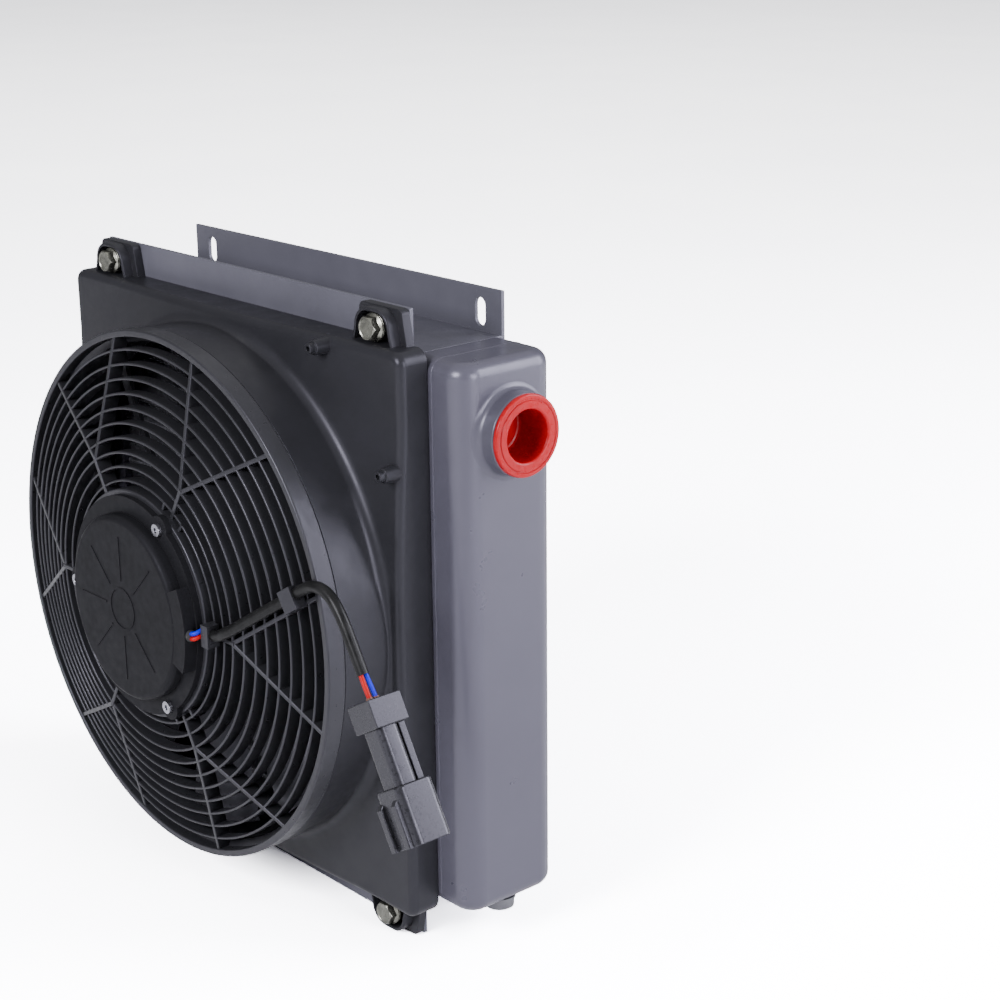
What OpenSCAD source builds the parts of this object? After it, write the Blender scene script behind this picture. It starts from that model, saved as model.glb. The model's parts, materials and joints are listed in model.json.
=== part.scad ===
// Air-blast hydraulic oil cooler: an aluminium core with two end tanks, a
// plastic shroud with a round tunnel, and a suction-side DC fan behind a guard.
// X runs from tank to tank, the fan faces -Y and +Z is up.  The origin is the
// middle of the footprint, on the surface that the cooler stands on.

/* [Cooler] */
// Overall height over the mounting flanges
frame_h = 391; // [360:1:420]
// Distance from the fan axis to the outer face of each tank
tank_reach = 202; // [198:1:210]
// Height of the tanks and of the core between them
core_h = 338; // [320:2:344]
// Half the length of the top and bottom channels
channel_half = 158; // [154:1:160]
// Distance of the front mounting flange behind the origin
channel_front = 16; // [14:1:20]
// Distance of the rear flange's back face behind the origin
channel_back = 87; // [80:1:95]
// Sheet thickness of the channels
channel_t = 2.5; // [2:0.5:3]
// Distance of the mounting slots and shroud bolts from the middle
slot_x = 139; // [130:1:142]

/* [Core] */
// Number of oil tubes
tube_count = 20; // [12:1:24]
// Thickness of one flat oil tube
tube_t = 4; // [3:0.5:5]
// Pitch of the folded air fins
fin_pitch = 10; // [8:0.5:12]

/* [Oil ports] */
// Height of the ports above the fan axis
port_rise = 126.5; // [110:0.5:130]
// Outer diameter of a port boss
port_boss_d = 49; // [46:1:52]
// Bore of a port boss, one inch pipe thread
port_bore_d = 33.25; // [30:0.25:34]

/* [Shroud] */
// Half the width of the shroud
shroud_half_w = 172.8; // [170:0.2:174]
// Half the height of the shroud
shroud_half_h = 174.8; // [172:0.2:176]
// Wall of the shroud and its tunnel
shroud_wall = 3; // [2.5:0.5:4]

/* [Fan] */
// Outer radius of the guard ring
guard_r = 167; // [165:1:169]
// Distance of the front of the guard ring ahead of the origin
guard_front = 56; // [52:1:60]
// Number of guard rings inside the outer ring
ring_count = 10; // [8:1:12]
// Tip radius of the impeller
tip_r = 154; // [148:1:155]
// Number of blades
blade_count = 9; // [7:1:11]

/* [Hidden] */

$fn = 64;
eps = 0.01;             // overlap that keeps joined shapes one solid
axis_z = frame_h / 2;   // height of the fan axis
half_core = core_h / 2;

// Core and headers, along Z from the fan axis
web_in = half_core - channel_t;
side_plate_t = 3;
stack_half = web_in - side_plate_t;
fin_rows = tube_count + 1;
fin_h = (2 * stack_half - tube_count * tube_t) / fin_rows;
row_pitch = fin_h + tube_t;
fin_t = 0.4;
core_front = channel_front + channel_t;
core_back = channel_back - channel_t;
header_in = channel_half + 0.5;   // inner face of the header plate
header_plate_t = 3;
seam_x = 175;                     // weld between header and tank
tube_half = header_in + header_plate_t + 2;
fin_half = header_in - 1.5;
tube_inset = 1;                   // tubes stop short of the core's faces
tube_wall = 0.8;
tube_end_wall = 1.5;              // front and back edges of a tube
tube_depth = core_back - core_front - 2 * tube_inset;
tank_wall = 4;
tank_mid_y = (channel_front + channel_back) / 2;
tank_corner_r = 14;               // upright corners of a tank
tank_edge_r = 9;                  // top and bottom edges of a tank

// Port and drain
port_z = axis_z + port_rise;
boss_len = 12;
boss_fillet = 4;
plug_flange_t = 3;
plug_flange_r = 24.2;
plug_wall = 1;
plug_cup_r = port_bore_d / 2 - 0.35;
plug_depth = 25;
drain_x = 188;
drain_bore_r = 6.6;
drain_head_r = 9;
drain_head_h = 6;
drain_washer_t = 1.5;
drain_pad_r = 11;                 // thick pad inside the tank for the thread
drain_pad_h = 11;
drain_key_r = 3.5;                // hexagon socket, across its corners

// Shroud: a shallow cone rises from its flat front to the tunnel
cone_base_r = 211;
cone_rise = 6;
tunnel_base_r = 164.5;
tunnel_in_r = 160.5;
tunnel_lip_r = guard_r - 0.4;
tunnel_front = 44;                // where the guard ring takes over
shroud_face = 4;                  // flat front ahead of y = 0
lug_foot = 23;                    // half width of the lug where it leaves the shroud
lug_head = 19.6;                  // half width near its top
lug_r = 4;
lug_step_y = 10;                  // front of the lug itself
collar_front = 3;                 // front of the arched collar round the bolt
collar_foot = 18;
collar_head = 16;
collar_r = 12;
collar_drop = 0.7;
collar_wall = 2.2;                // leaves the washer room under the arch
bolt_rise = 183.5;                // bolt height from the fan axis
bolt_hole_r = 4.2;                // round holes in the front flange
slot_rise = 180.5;                // slots in the rear flange
slot_w = 9;
slot_len = 17;
bolt_r = 4;
bolt_flange_r = 8.4;
hex_r = 7.5;
washer_r = 8.4;
washer_t = 1.5;
hex_h = 6;
bolt_flange_t = 1.2;              // round flange under a head or nut
spacer_r = 6;
spacer_len = 5;
lug_plate_y = channel_front - 4;  // floor of the collar, where the spacer rests
lug_hole_r = 5.5;
post_places = [[106, 169], [167, 106]];
post_root_y = -3.5;
post_root_r = 5.2;
post_step_y = -13.8;
post_step_r = 4.3;
post_tip_y = -17.5;
post_tip_r = 3.1;
post_hole_r = 1.6;
post_hole_y = -8;

// Guard: rings on a shallow cone that is flat inside the spoke forks
fork_r = 95;
fork_front = 71.5;
spoke_end_r = 164;
ring_first_r = 76.5;
ring_step = 8.7;
ring_t = 1.8;
ring_depth = 9;
ring_set_back = 0.4;              // rings stand a little behind the spokes
spoke_t = 2.8;
spoke_depth = 10;
spoke_end_y = 54.8;               // where a fork bar runs into the outer ring
collar_out_r = 72;
collar_in_r = 60;
seat_depth = 12;                  // collar and ears that carry the motor
ear_r = 8;
flange_back = 74;                 // seat of the motor flange

// Motor, measured forwards from the origin
cover_front = channel_back;       // the cover and the rear flange set the depth
flange_front = 78;
cap_r = 58.5;
outlet_r = 67.5;
motor_screw_pitch_r = 65.5;
can_r = 55;
can_rear = 30;
shaft_r = 3.97;
bearing_r = 11;
bearing_len = 7;
front_bearing_y = -83.5;
rear_bearing_y = -39;
armature_front = -62;
armature_back = -46;
armature_r = 38;
winding_r = 34;
winding_in_r = 16;
winding_len = 5;
commutator_r = 13;
brush_y = -75.5;                  // back of the brush plate, front of the brushes
brush_len = 14;
brush_w = 6;
can_wall = 2;
hub_r = 63;
blade_y = -33;

// Lead: the sleeve lies along one fork of the guard, then falls in an arc
wire_r = 1.4;
wire_gap = 1.6;                   // each wire's distance from the lead's centre line
outlet_y = -82.2;
outlet_z = axis_z + 0.5;
sleeve_r = 3.5;
sleeve_up = 6.5;                  // sleeve above the fork bar
sleeve_out = 4.6;                 // sleeve centre in front of the fork bar
run_y = -75.2;
run_z = axis_z + 3;
run_start = 73.6;
clip_a_x = 75;
clip_b_s = 63;                    // second clip's place along the fork
clip_len = 10;
run_lift = -fork_front - run_y;   // first run of sleeve, in front of the guard
lead_y = -61.5;
sleeve_route = [
    [151, -61.7, axis_z + 45.4], [155, -61.3, axis_z + 47.8],
    [159.4, -61, axis_z + 49.8], [164, -61, axis_z + 51.1], [168.6, -61, axis_z + 51.4],
    [173.2, -61, axis_z + 50.8], [177.6, -61.1, axis_z + 49.2], [181.6, -61.3, axis_z + 46.7],
    [185.2, -61.5, axis_z + 43.5], [188.4, -61.5, axis_z + 39.6], [191.4, -61.5, axis_z + 35.3],
    [194.3, -61.5, axis_z + 30.7], [197.2, -61.5, axis_z + 25.9], [200.1, -61.5, axis_z + 21.1],
    [203, -61.5, axis_z + 16.3], [206, -61.5, axis_z + 11.4]
];
plug_tilt = 30;                   // lean of the hanging connector
plug_top = [214.2, lead_y, axis_z - 0.4];
plug_cap_len = 16;
plug_body_len = 33;
plug_mouth_len = 33;
plug_cap_w = 22;
plug_body_w = 18;
plug_body_d = 14;
plug_mouth_w = 24;
plug_mouth_d = 25;
terminal_w = 6.3;
terminal_t = 0.8;

// The fork that carries the lead: its direction, and the two directions across it
fork_end = spoke_end_r * [cos(15), sin(15)];
fork_dir = unit([fork_end[0] - fork_r, fork_front - spoke_end_y, fork_end[1]]);
fork_up = unit([-fork_dir[2], 0, fork_dir[0]]);
fork_out = cross(fork_dir, fork_up);

// ---------- helpers ----------

// Puts a shape that is drawn round the fan axis at its height
module at_axis() {
    translate([0, 0, axis_z]) children();
}

// A solid of revolution about the fan axis; the outline is [radius, y]
module about_y() {
    rotate([-90, 0, 0]) rotate_extrude($fn = 128) children();
}

// A disc or cylinder along +Y from y0 to y1
module y_cyl(r, y0, y1) {
    translate([0, y0, 0]) rotate([-90, 0, 0]) cylinder(r = r, h = y1 - y0);
}

module y_tube(r_out, r_in, y0, y1) {
    difference() {
        y_cyl(r_out, y0, y1);
        y_cyl(r_in, y0 - 1, y1 + 1);
    }
}

module x_cyl(r, x0, x1) {
    translate([x0, 0, 0]) rotate([0, 90, 0]) cylinder(r = r, h = x1 - x0);
}

module rounded_rect(w, h, r) {
    hull()
        for (sx = [-1, 1], sy = [-1, 1])
            translate([sx * (w / 2 - r), sy * (h / 2 - r)]) circle(r = r, $fn = 32);
}

module mirrored(side) {
    if (side < 0) mirror([1, 0, 0]) children();
    else children();
}

// The four places where the shroud is bolted to the front flanges
module at_bolts() {
    for (sx = [-1, 1], sz = [-1, 1])
        translate([sx * slot_x, 0, axis_z + sz * bolt_rise]) children();
}

// Tube swept along a route; each ring stands square to the route
function unit(v) = v / norm(v);
function route_dir(p, i) =
    unit(p[min(i + 1, len(p) - 1)] - p[max(i - 1, 0)]);
function side_of(d) = unit(cross(d, [0.01, 1, 0.02]));
function ring_at(p, i, r, n) =
    let (d = route_dir(p, i), s = side_of(d), u = cross(s, d))
    [for (k = [0 : n - 1]) p[i] + r * (cos(360 * k / n) * s + sin(360 * k / n) * u)];

module swept_tube(route, r, n) {
    rings = [for (i = [0 : len(route) - 1]) each ring_at(route, i, r, n)];
    last = (len(route) - 1) * n;
    walls = [for (i = [0 : len(route) - 2], k = [0 : n - 1])
        [i * n + k, i * n + (k + 1) % n, (i + 1) * n + (k + 1) % n, (i + 1) * n + k]];
    start_cap = [for (k = [n - 1 : -1 : 0]) k];
    end_cap = [for (k = [0 : n - 1]) last + k];
    polyhedron(points = rings, faces = concat(walls, [start_cap], [end_cap]));
}

// ---------- core ----------

function tube_z(i) = axis_z - stack_half + fin_h + i * row_pitch;

module core_tubes() {
    color([0.62, 0.62, 0.66])
    for (i = [0 : tube_count - 1])
        translate([-tube_half, core_front + tube_inset, tube_z(i)])
            difference() {
                cube([2 * tube_half, tube_depth, tube_t]);
                translate([-1, tube_end_wall, tube_wall])
                    cube([2 * tube_half + 2, tube_depth - 2 * tube_end_wall,
                          tube_t - 2 * tube_wall]);
            }
}

// One folded strip: a square wave of thin sheet, fin_h high
module folded_strip() {
    periods = floor(2 * fin_half / fin_pitch);
    start = -periods * fin_pitch / 2;
    half = fin_pitch / 2;
    t = fin_t / 2;
    over = [for (k = [0 : periods - 1]) let (x = start + k * fin_pitch)
        each [[x - t, fin_h], [x + half + t, fin_h],
              [x + half + t, fin_t], [x + fin_pitch - t, fin_t]]];
    under = [for (k = [periods - 1 : -1 : 0]) let (x = start + k * fin_pitch)
        each [[x + fin_pitch - t, 0], [x + half - t, 0],
              [x + half - t, fin_h - fin_t], [x + t, fin_h - fin_t]]];
    polygon(concat(over, under, [[start + t, 0], [start - t, 0]]));
}

module core_fins() {
    color([0.56, 0.56, 0.6])
    for (row = [0 : fin_rows - 1])
        translate([0, core_back, axis_z - stack_half + row * row_pitch])
            rotate([90, 0, 0])
                linear_extrude(core_back - core_front) folded_strip();
}

module core_side_plates() {
    color([0.45, 0.45, 0.48])
    for (z = [-web_in, stack_half])
        translate([-header_in, core_front, axis_z + z])
            cube([2 * header_in, core_back - core_front, side_plate_t]);
}

// ---------- headers and tanks ----------

module header_solid() {
    difference() {
        translate([header_in, channel_front, axis_z - half_core])
            cube([seam_x - header_in, channel_back - channel_front, core_h]);
        translate([header_in + header_plate_t, channel_front + tank_wall,
                   axis_z - half_core + tank_wall])
            cube([seam_x, channel_back - channel_front - 2 * tank_wall,
                  core_h - 2 * tank_wall]);
        for (i = [0 : tube_count - 1])
            translate([header_in - 1, core_front + tube_inset, tube_z(i)])
                cube([header_plate_t + 2, tube_depth, tube_t]);
    }
}

module left_header() {
    color([0.44, 0.44, 0.49]) mirrored(-1) header_solid();
}

module right_header() {
    color([0.44, 0.44, 0.49]) header_solid();
}

// Block with two upright round corners and two round outer edges
module tank_block(inset, x0) {
    reach = tank_reach - inset;
    depth = channel_back - channel_front - 2 * inset;
    high = core_h - 2 * inset;
    corner = tank_corner_r - inset;
    edge = tank_edge_r - inset;
    intersection() {
        translate([0, 0, axis_z - high / 2])
            linear_extrude(high) {
                translate([x0, tank_mid_y - depth / 2])
                    square([reach - corner - x0, depth]);
                translate([reach - corner - eps, tank_mid_y - depth / 2 + corner])
                    square([corner + eps, depth - 2 * corner]);
                for (side = [-1, 1])
                    translate([reach - corner, tank_mid_y + side * (depth / 2 - corner)])
                        circle(r = corner);
            }
        translate([0, channel_back + 1, axis_z])
            rotate([90, 0, 0])
                linear_extrude(channel_back - channel_front + 2) {
                    translate([x0, -high / 2])
                        square([reach - edge - x0, high]);
                    translate([reach - edge - eps, -high / 2 + edge])
                        square([edge + eps, high - 2 * edge]);
                    for (side = [-1, 1])
                        translate([reach - edge, side * (high / 2 - edge)])
                            circle(r = edge);
                }
    }
}

module tank_solid() {
    difference() {
        union() {
            difference() {
                tank_block(0, seam_x);
                tank_block(tank_wall, seam_x - 1);
            }
            translate([drain_x, tank_mid_y, axis_z - half_core + 1])
                cylinder(r = drain_pad_r, h = drain_pad_h);
        }
        translate([0, tank_mid_y, port_z])
            x_cyl(port_boss_d / 2 - 3, tank_reach - tank_wall - 3, tank_reach + 1);
        translate([drain_x, tank_mid_y, axis_z - half_core - 1])
            cylinder(r = drain_bore_r, h = 20);
    }
}

module left_tank() {
    color([0.5, 0.5, 0.56]) mirrored(-1) tank_solid();
}

module right_tank() {
    color([0.5, 0.5, 0.56]) tank_solid();
}

// Welded threaded boss with a round fillet, shaped to the tank it stands on
module port_boss_solid() {
    outer_r = port_boss_d / 2;
    sunk = 3;
    difference() {
        union() {
            difference() {
                at_port() {
                    translate([0, 0, -sunk]) cylinder(r = outer_r, h = boss_len + sunk);
                    translate([0, 0, -sunk]) cylinder(r = outer_r + boss_fillet, h = sunk);
                    rotate_extrude()
                        translate([outer_r - 1, -1])
                            difference() {
                                square([boss_fillet + 1, boss_fillet + 1]);
                                translate([boss_fillet + 1, boss_fillet + 1])
                                    circle(r = boss_fillet);
                            }
                }
                tank_block(0, seam_x);
            }
            at_port()
                translate([0, 0, -tank_wall]) cylinder(r = outer_r - 3, h = tank_wall + 1);
        }
        at_port()
            translate([0, 0, -tank_wall - 1])
                cylinder(r = port_bore_d / 2, h = tank_wall + boss_len + 2);
    }
}

// The tank's outer face at the port; z points away from the tank
module at_port() {
    translate([tank_reach, tank_mid_y, port_z]) rotate([0, 90, 0]) children();
}

module left_port_boss() {
    color([0.5, 0.5, 0.56]) mirrored(-1) port_boss_solid();
}

module right_port_boss() {
    color([0.5, 0.5, 0.56]) port_boss_solid();
}

// Push-in transit plug: a flange with a hollow cup that goes into the port
module port_plug_solid() {
    translate([tank_reach + boss_len, tank_mid_y, port_z])
        rotate([0, 90, 0])
            difference() {
                union() {
                    cylinder(r = plug_flange_r, h = plug_flange_t);
                    translate([0, 0, plug_flange_t - plug_depth - plug_wall])
                        cylinder(r = plug_cup_r, h = plug_depth + plug_wall - 1);
                }
                translate([0, 0, plug_flange_t - plug_depth])
                    cylinder(r = plug_cup_r - plug_wall, h = plug_depth + 1);
            }
}

module left_port_plug() {
    color([0.85, 0.06, 0.06]) mirrored(-1) port_plug_solid();
}

module right_port_plug() {
    color([0.85, 0.06, 0.06]) port_plug_solid();
}

module at_drains() {
    for (side = [-1, 1])
        translate([side * drain_x, tank_mid_y, axis_z - half_core]) children();
}

module drain_plugs() {
    color([0.3, 0.3, 0.32])
    at_drains()
        difference() {
            union() {
                translate([0, 0, -drain_washer_t - drain_head_h])
                    cylinder(r = drain_head_r, h = drain_head_h);
                translate([0, 0, -drain_washer_t - 1])
                    cylinder(r = drain_bore_r - 0.05, h = drain_pad_h);
            }
            translate([0, 0, -drain_washer_t - drain_head_h - 1])
                cylinder(r = drain_key_r, h = drain_head_h, $fn = 6);
        }
}

module drain_washers() {
    color([0.3, 0.3, 0.32])
    at_drains()
        translate([0, 0, -drain_washer_t])
            difference() {
                cylinder(r = drain_head_r + 1, h = drain_washer_t);
                translate([0, 0, -1]) cylinder(r = drain_bore_r + 0.2, h = 4);
            }
}

// ---------- mounting channels ----------

// Two flanges on a web, lying on the core: bolt holes in front, upright slots behind
module channel_solid() {
    difference() {
        union() {
            translate([-channel_half, channel_front, web_in])
                cube([2 * channel_half, channel_back - channel_front, channel_t]);
            for (y = [channel_front, channel_back - channel_t])
                translate([-channel_half, y, web_in])
                    cube([2 * channel_half, channel_t, axis_z - web_in]);
        }
        for (side = [-1, 1]) {
            translate([side * slot_x, 0, slot_rise])
                slot_cutter();
            translate([side * slot_x, 0, bolt_rise])
                y_cyl(bolt_hole_r, channel_front - 1, channel_front + channel_t + 1);
        }
    }
}

// Upright slot through the rear flange
module slot_cutter() {
    straight = slot_len - slot_w;
    front = channel_back - channel_t - 1;
    for (end = [-1, 1])
        translate([0, 0, end * straight / 2])
            y_cyl(slot_w / 2, front, channel_back + 1);
    translate([-slot_w / 2, front, -straight / 2])
        cube([slot_w, channel_t + 2, straight]);
}

module top_channel() {
    color([0.42, 0.42, 0.46]) at_axis() channel_solid();
}

module bottom_channel() {
    color([0.42, 0.42, 0.46]) at_axis() mirror([0, 0, 1]) channel_solid();
}

// ---------- shroud ----------

module shroud_outline(inset) {
    rounded_rect(2 * (shroud_half_w - inset), 2 * (shroud_half_h - inset), 8 - inset);
}

// Box whose flat front carries a shallow cone; the front is moved back by inset
module shroud_block(inset) {
    depth = channel_front + shroud_face;
    translate([0, inset - shroud_face, 0])
        intersection() {
            translate([0, depth + 1, 0])
                rotate([90, 0, 0])
                    linear_extrude(depth + cone_rise + 2) shroud_outline(inset);
            union() {
                translate([-200, 0, -200]) cube([400, depth, 400]);
                translate([0, -cone_rise, 0]) rotate([-90, 0, 0])
                    cylinder(r1 = tunnel_base_r, r2 = cone_base_r, h = cone_rise + eps,
                             $fn = 128);
            }
        }
}

// Tunnel wall, slightly wider at its front, with a fillet at its foot
module tunnel_wall() {
    fillet = 7;
    foot_y = shroud_face + cone_rise;
    about_y()
        difference() {
            union() {
                polygon([
                    [tunnel_in_r, 0], [tunnel_base_r + 2, 0],
                    [tunnel_base_r, -foot_y], [tunnel_lip_r, -tunnel_front],
                    [tunnel_in_r, -tunnel_front]
                ]);
                translate([tunnel_base_r - 1, -foot_y - fillet])
                    square([fillet, fillet + 3]);
            }
            translate([tunnel_base_r + fillet - 0.6, -foot_y - fillet])
                circle(r = fillet - 0.4);
        }
}

// Tapered lug on the edge of the shroud with an arched collar round the bolt
module lug() {
    top = axis_z - shroud_half_h;
    difference() {
        union() {
            lug_layer(lug_step_y, channel_front)
                lug_outline(lug_foot, lug_head, top, lug_r);
            lug_layer(collar_front, lug_step_y + 1)
                lug_outline(collar_foot, collar_head, top - collar_drop, collar_r);
        }
        lug_layer(collar_front - 1, lug_plate_y)
            lug_outline(collar_foot - collar_wall, collar_head - collar_wall,
                        top - collar_drop - collar_wall, collar_r - collar_wall);
        translate([0, 0, bolt_rise - shroud_half_h])
            y_cyl(lug_hole_r, 0, channel_front + 1);
    }
}

module lug_layer(y0, y1) {
    translate([0, y1, 0])
        rotate([90, 0, 0])
            linear_extrude(y1 - y0) children();
}

// Wide foot and two round shoulders; z = 0 is the shroud edge
module lug_outline(foot, head, top, r) {
    polygon([
        [-foot, -2], [foot, -2], [foot, 0], [head, top - r], [head - r, top],
        [r - head, top], [-head, top - r], [-foot, 0]
    ]);
    for (side = [-1, 1])
        translate([side * (head - r), top - r]) circle(r = r);
}

// Tapered screw post with a thinner tip and a pilot hole
module screw_post() {
    difference() {
        union() {
            translate([0, post_root_y, 0]) rotate([90, 0, 0])
                cylinder(r1 = post_root_r, r2 = post_step_r, h = post_root_y - post_step_y);
            y_cyl(post_tip_r, post_tip_y, post_root_y - 1);
        }
        y_cyl(post_hole_r, post_tip_y - 1, post_hole_y);
    }
}

module shroud() {
    color([0.2, 0.2, 0.21])
    at_axis() {
        difference() {
            union() {
                shroud_block(0);
                tunnel_wall();
            }
            shroud_block(shroud_wall);
            y_cyl(tunnel_in_r, -60, channel_front + 1);
        }
        for (sx = [-1, 1], up = [0, 1])
            mirror([0, 0, up])
                translate([sx * slot_x, 0, shroud_half_h]) lug();
        for (place = post_places)
            translate([place[0], 0, place[1]]) screw_post();
    }
}

module shroud_bolts() {
    head_y = lug_plate_y - spacer_len - washer_t;
    color([0.62, 0.62, 0.56])
    at_bolts() {
        y_cyl(bolt_flange_r, head_y - bolt_flange_t, head_y);
        translate([0, head_y - hex_h - 0.5, 0])
            rotate([-90, 0, 0]) cylinder(r = hex_r, h = hex_h, $fn = 6);
        y_cyl(bolt_r - 0.1, head_y - 1, channel_front + 10);
    }
}

module shroud_washers() {
    back = lug_plate_y - spacer_len;
    color([0.66, 0.66, 0.6])
    at_bolts()
        y_tube(washer_r, bolt_r + 0.3, back - washer_t, back);
}

module shroud_spacers() {
    color([0.6, 0.6, 0.55])
    at_bolts()
        y_tube(spacer_r, bolt_r + 0.3, lug_plate_y - spacer_len, lug_plate_y);
}

module shroud_nuts() {
    color([0.62, 0.62, 0.56])
    at_bolts()
        difference() {
            union() {
                y_cyl(bolt_flange_r, core_front, core_front + bolt_flange_t);
                translate([0, core_front + 1, 0])
                    rotate([-90, 0, 0]) cylinder(r = hex_r, h = hex_h, $fn = 6);
            }
            y_cyl(bolt_r, core_front - 1, core_front + 9);
        }
}

// ---------- fan ----------

// Front of a guard ring at radius r: level to the forks, then falling outwards
function guard_y(r) = ring_set_back - fork_front
    + (fork_front - spoke_end_y) * max(0, r - fork_r) / (spoke_end_r - fork_r);

// One straight fork bar, from inside the stem to the ring; side is +1 or -1
module fork_bar(side) {
    root = 3;
    inset = 0.4;
    end = spoke_end_r * [cos(15), side * sin(15)];
    run = end - [fork_r, 0];
    len_xz = norm(run);
    fall = fork_front - spoke_end_y;
    translate([fork_r, -fork_front, 0])
        rotate([0, -atan2(run[1], run[0]), 0])
            translate([0, 0, -spoke_t / 2])
                linear_extrude(spoke_t)
                    polygon([[-root, inset], [len_xz, fall],
                             [len_xz, fall + spoke_depth], [-root, spoke_depth - inset]]);
}

module guard_spoke() {
    translate([collar_out_r - 4, -fork_front, -spoke_t / 2])
        cube([fork_r - collar_out_r + 5, spoke_depth, spoke_t]);
    fork_bar(1);
    fork_bar(-1);
}

module motor_ear(r, y0, y1) {
    for (a = [60 : 120 : 300])
        rotate([0, -a, 0])
            translate([motor_screw_pitch_r, 0, 0]) y_cyl(r, y0, y1);
}

module fan_guard() {
    color([0.18, 0.18, 0.19])
    at_axis() {
        about_y()
            polygon([
                [guard_r - 4.5, -guard_front], [guard_r - 1.2, -guard_front],
                [guard_r, -guard_front + 1.2], [guard_r, -tunnel_front],
                [tunnel_in_r, -tunnel_front], [tunnel_in_r, -tunnel_front + 8],
                [tunnel_in_r - 2, -tunnel_front + 8], [tunnel_in_r - 2, -tunnel_front - 2],
                [guard_r - 4.5, -tunnel_front - 4]
            ]);
        for (k = [0 : ring_count - 1]) {
            r = ring_first_r + k * ring_step;
            y_tube(r + ring_t / 2, r - ring_t / 2, guard_y(r), guard_y(r) + ring_depth);
        }
        for (a = [0 : 60 : 300])
            rotate([0, -a, 0]) guard_spoke();
        difference() {
            union() {
                y_tube(collar_out_r, collar_in_r, -flange_back, -flange_back + seat_depth);
                motor_ear(ear_r, -flange_back, -flange_back + seat_depth);
            }
            y_cyl(collar_in_r, -flange_back - 1, 0);
            motor_ear(2.1, -flange_back - 1, -flange_back + 9);
        }
    }
}

// One cambered blade: a slice of a tube, pitched, trimmed to a swept outline
module blade() {
    pitch = 61;
    camber_r = 90;
    blade_t = 2.6;
    chord = 96;
    intersection() {
        translate([hub_r - 3, 0, 0])
            rotate([0, 90, 0])
                rotate([0, 0, pitch])
                    linear_extrude(tip_r - hub_r + 3)
                        intersection() {
                            translate([camber_r, 0])
                                difference() {
                                    circle(r = camber_r + blade_t / 2, $fn = 128);
                                    circle(r = camber_r - blade_t / 2, $fn = 128);
                                }
                            square([60, chord], center = true);
                        }
        y_tube(tip_r, hub_r - 1.5, -60, 10);
        rotate([90, 0, 0])
            linear_extrude(80, center = true)
                polygon([[58, -19], [85, -16], [115, -18], [140, -24], [160, -33],
                         [160, 14], [140, 25], [110, 31], [80, 28], [58, 22]]);
    }
}

module impeller() {
    hub_front = -50;
    hub_back = -20;
    color([0.12, 0.12, 0.13])
    at_axis() {
        difference() {
            union() {
                difference() {
                    y_cyl(hub_r, hub_front, hub_back);
                    y_cyl(hub_r - 3, hub_front - 1, hub_back - 3);
                }
                y_cyl(11, -28, -17.5);
                for (a = [0 : 60 : 300])
                    rotate([0, -a, 0])
                        translate([9, -27, -1]) cube([hub_r - 11, 6, 2]);
            }
            y_cyl(4, -60, 0);
        }
        for (k = [0 : blade_count - 1])
            rotate([0, -k * 360 / blade_count, 0])
                translate([0, blade_y, 0]) blade();
    }
}

module impeller_clip() {
    color([0.7, 0.7, 0.72])
    at_axis() y_tube(8, 4, -17.5, -16.5);
}

// ---------- motor ----------

// Sector of a disc between two angles, extruded along Y
module y_sector(r, a0, a1, y0, y1) {
    steps = 4;
    translate([0, y1, 0])
        rotate([90, 0, 0])
            linear_extrude(y1 - y0)
                polygon(concat([[0, 0]], [for (i = [0 : steps])
                    let (a = a0 + (a1 - a0) * i / steps) 1.2 * r * [cos(a), sin(a)]]));
}

module motor_cover() {
    color([0.2, 0.2, 0.2])
    at_axis() {
        difference() {
            union() {
                y_cyl(69, -flange_front, -flange_back);
                motor_ear(ear_r + 0.5, -flange_front, -flange_back);
                about_y() cap_section();
                intersection() {
                    y_cyl(outlet_r, -cover_front + 0.8, -flange_front + 1);
                    y_sector(outlet_r, -21, 25, -cover_front, -flange_front + 1);
                }
            }
            y_cyl(cap_r - 4, -cover_front + 3.5, -flange_front + 1);
            y_cyl(can_r - can_wall, -flange_front, -flange_back + 1);
            motor_ear(2.6, -flange_front - 2, -flange_back + 1);
            translate([0, outlet_y, outlet_z - axis_z]) x_cyl(3.6, 40, outlet_r + 2);
        }
        y_tube(bearing_r + 3, bearing_r, -cover_front + 3, -77);
        for (a = [45 : 45 : 315])
            rotate([0, -a, 0])
                translate([18, -cover_front, -0.6]) cube([28, 1, 1.2]);
        y_tube(13.5, 12.5, -cover_front, -cover_front + 1);
    }
}

// Half section of the front cap with its rounded rim
module cap_section() {
    rim = 4;
    translate([0, -cover_front + 0.4])
        square([cap_r - rim, cover_front - flange_front]);
    translate([cap_r - rim - 1, -cover_front + 0.4 + rim])
        square([rim + 1, cover_front - flange_front - rim]);
    translate([cap_r - rim, -cover_front + 0.4 + rim])
        circle(r = rim);
}

module motor_can() {
    color([0.25, 0.25, 0.26])
    at_axis() {
        difference() {
            y_cyl(can_r, -flange_back, -can_rear);
            y_cyl(can_r - can_wall, -flange_back - 1, -can_rear - can_wall);
            y_cyl(6, -40, 0);
        }
        y_tube(bearing_r + 3, bearing_r, -39, -31);
    }
}

module motor_screws() {
    color([0.75, 0.75, 0.76])
    at_axis()
        difference() {
            union() {
                motor_ear(4, -flange_front - 2.6, -flange_front);
                motor_ear(2.05, -flange_front - 1, -66);
            }
            for (a = [60 : 120 : 300])
                rotate([0, -a, 0])
                    translate([motor_screw_pitch_r, -flange_front - 3, 0])
                        rotate([-90, 0, 0]) cylinder(r = 1.7, h = 2, $fn = 6);
        }
}

module motor_shaft() {
    color([0.8, 0.8, 0.82])
    at_axis() y_cyl(shaft_r, -83, -15);
}

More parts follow.
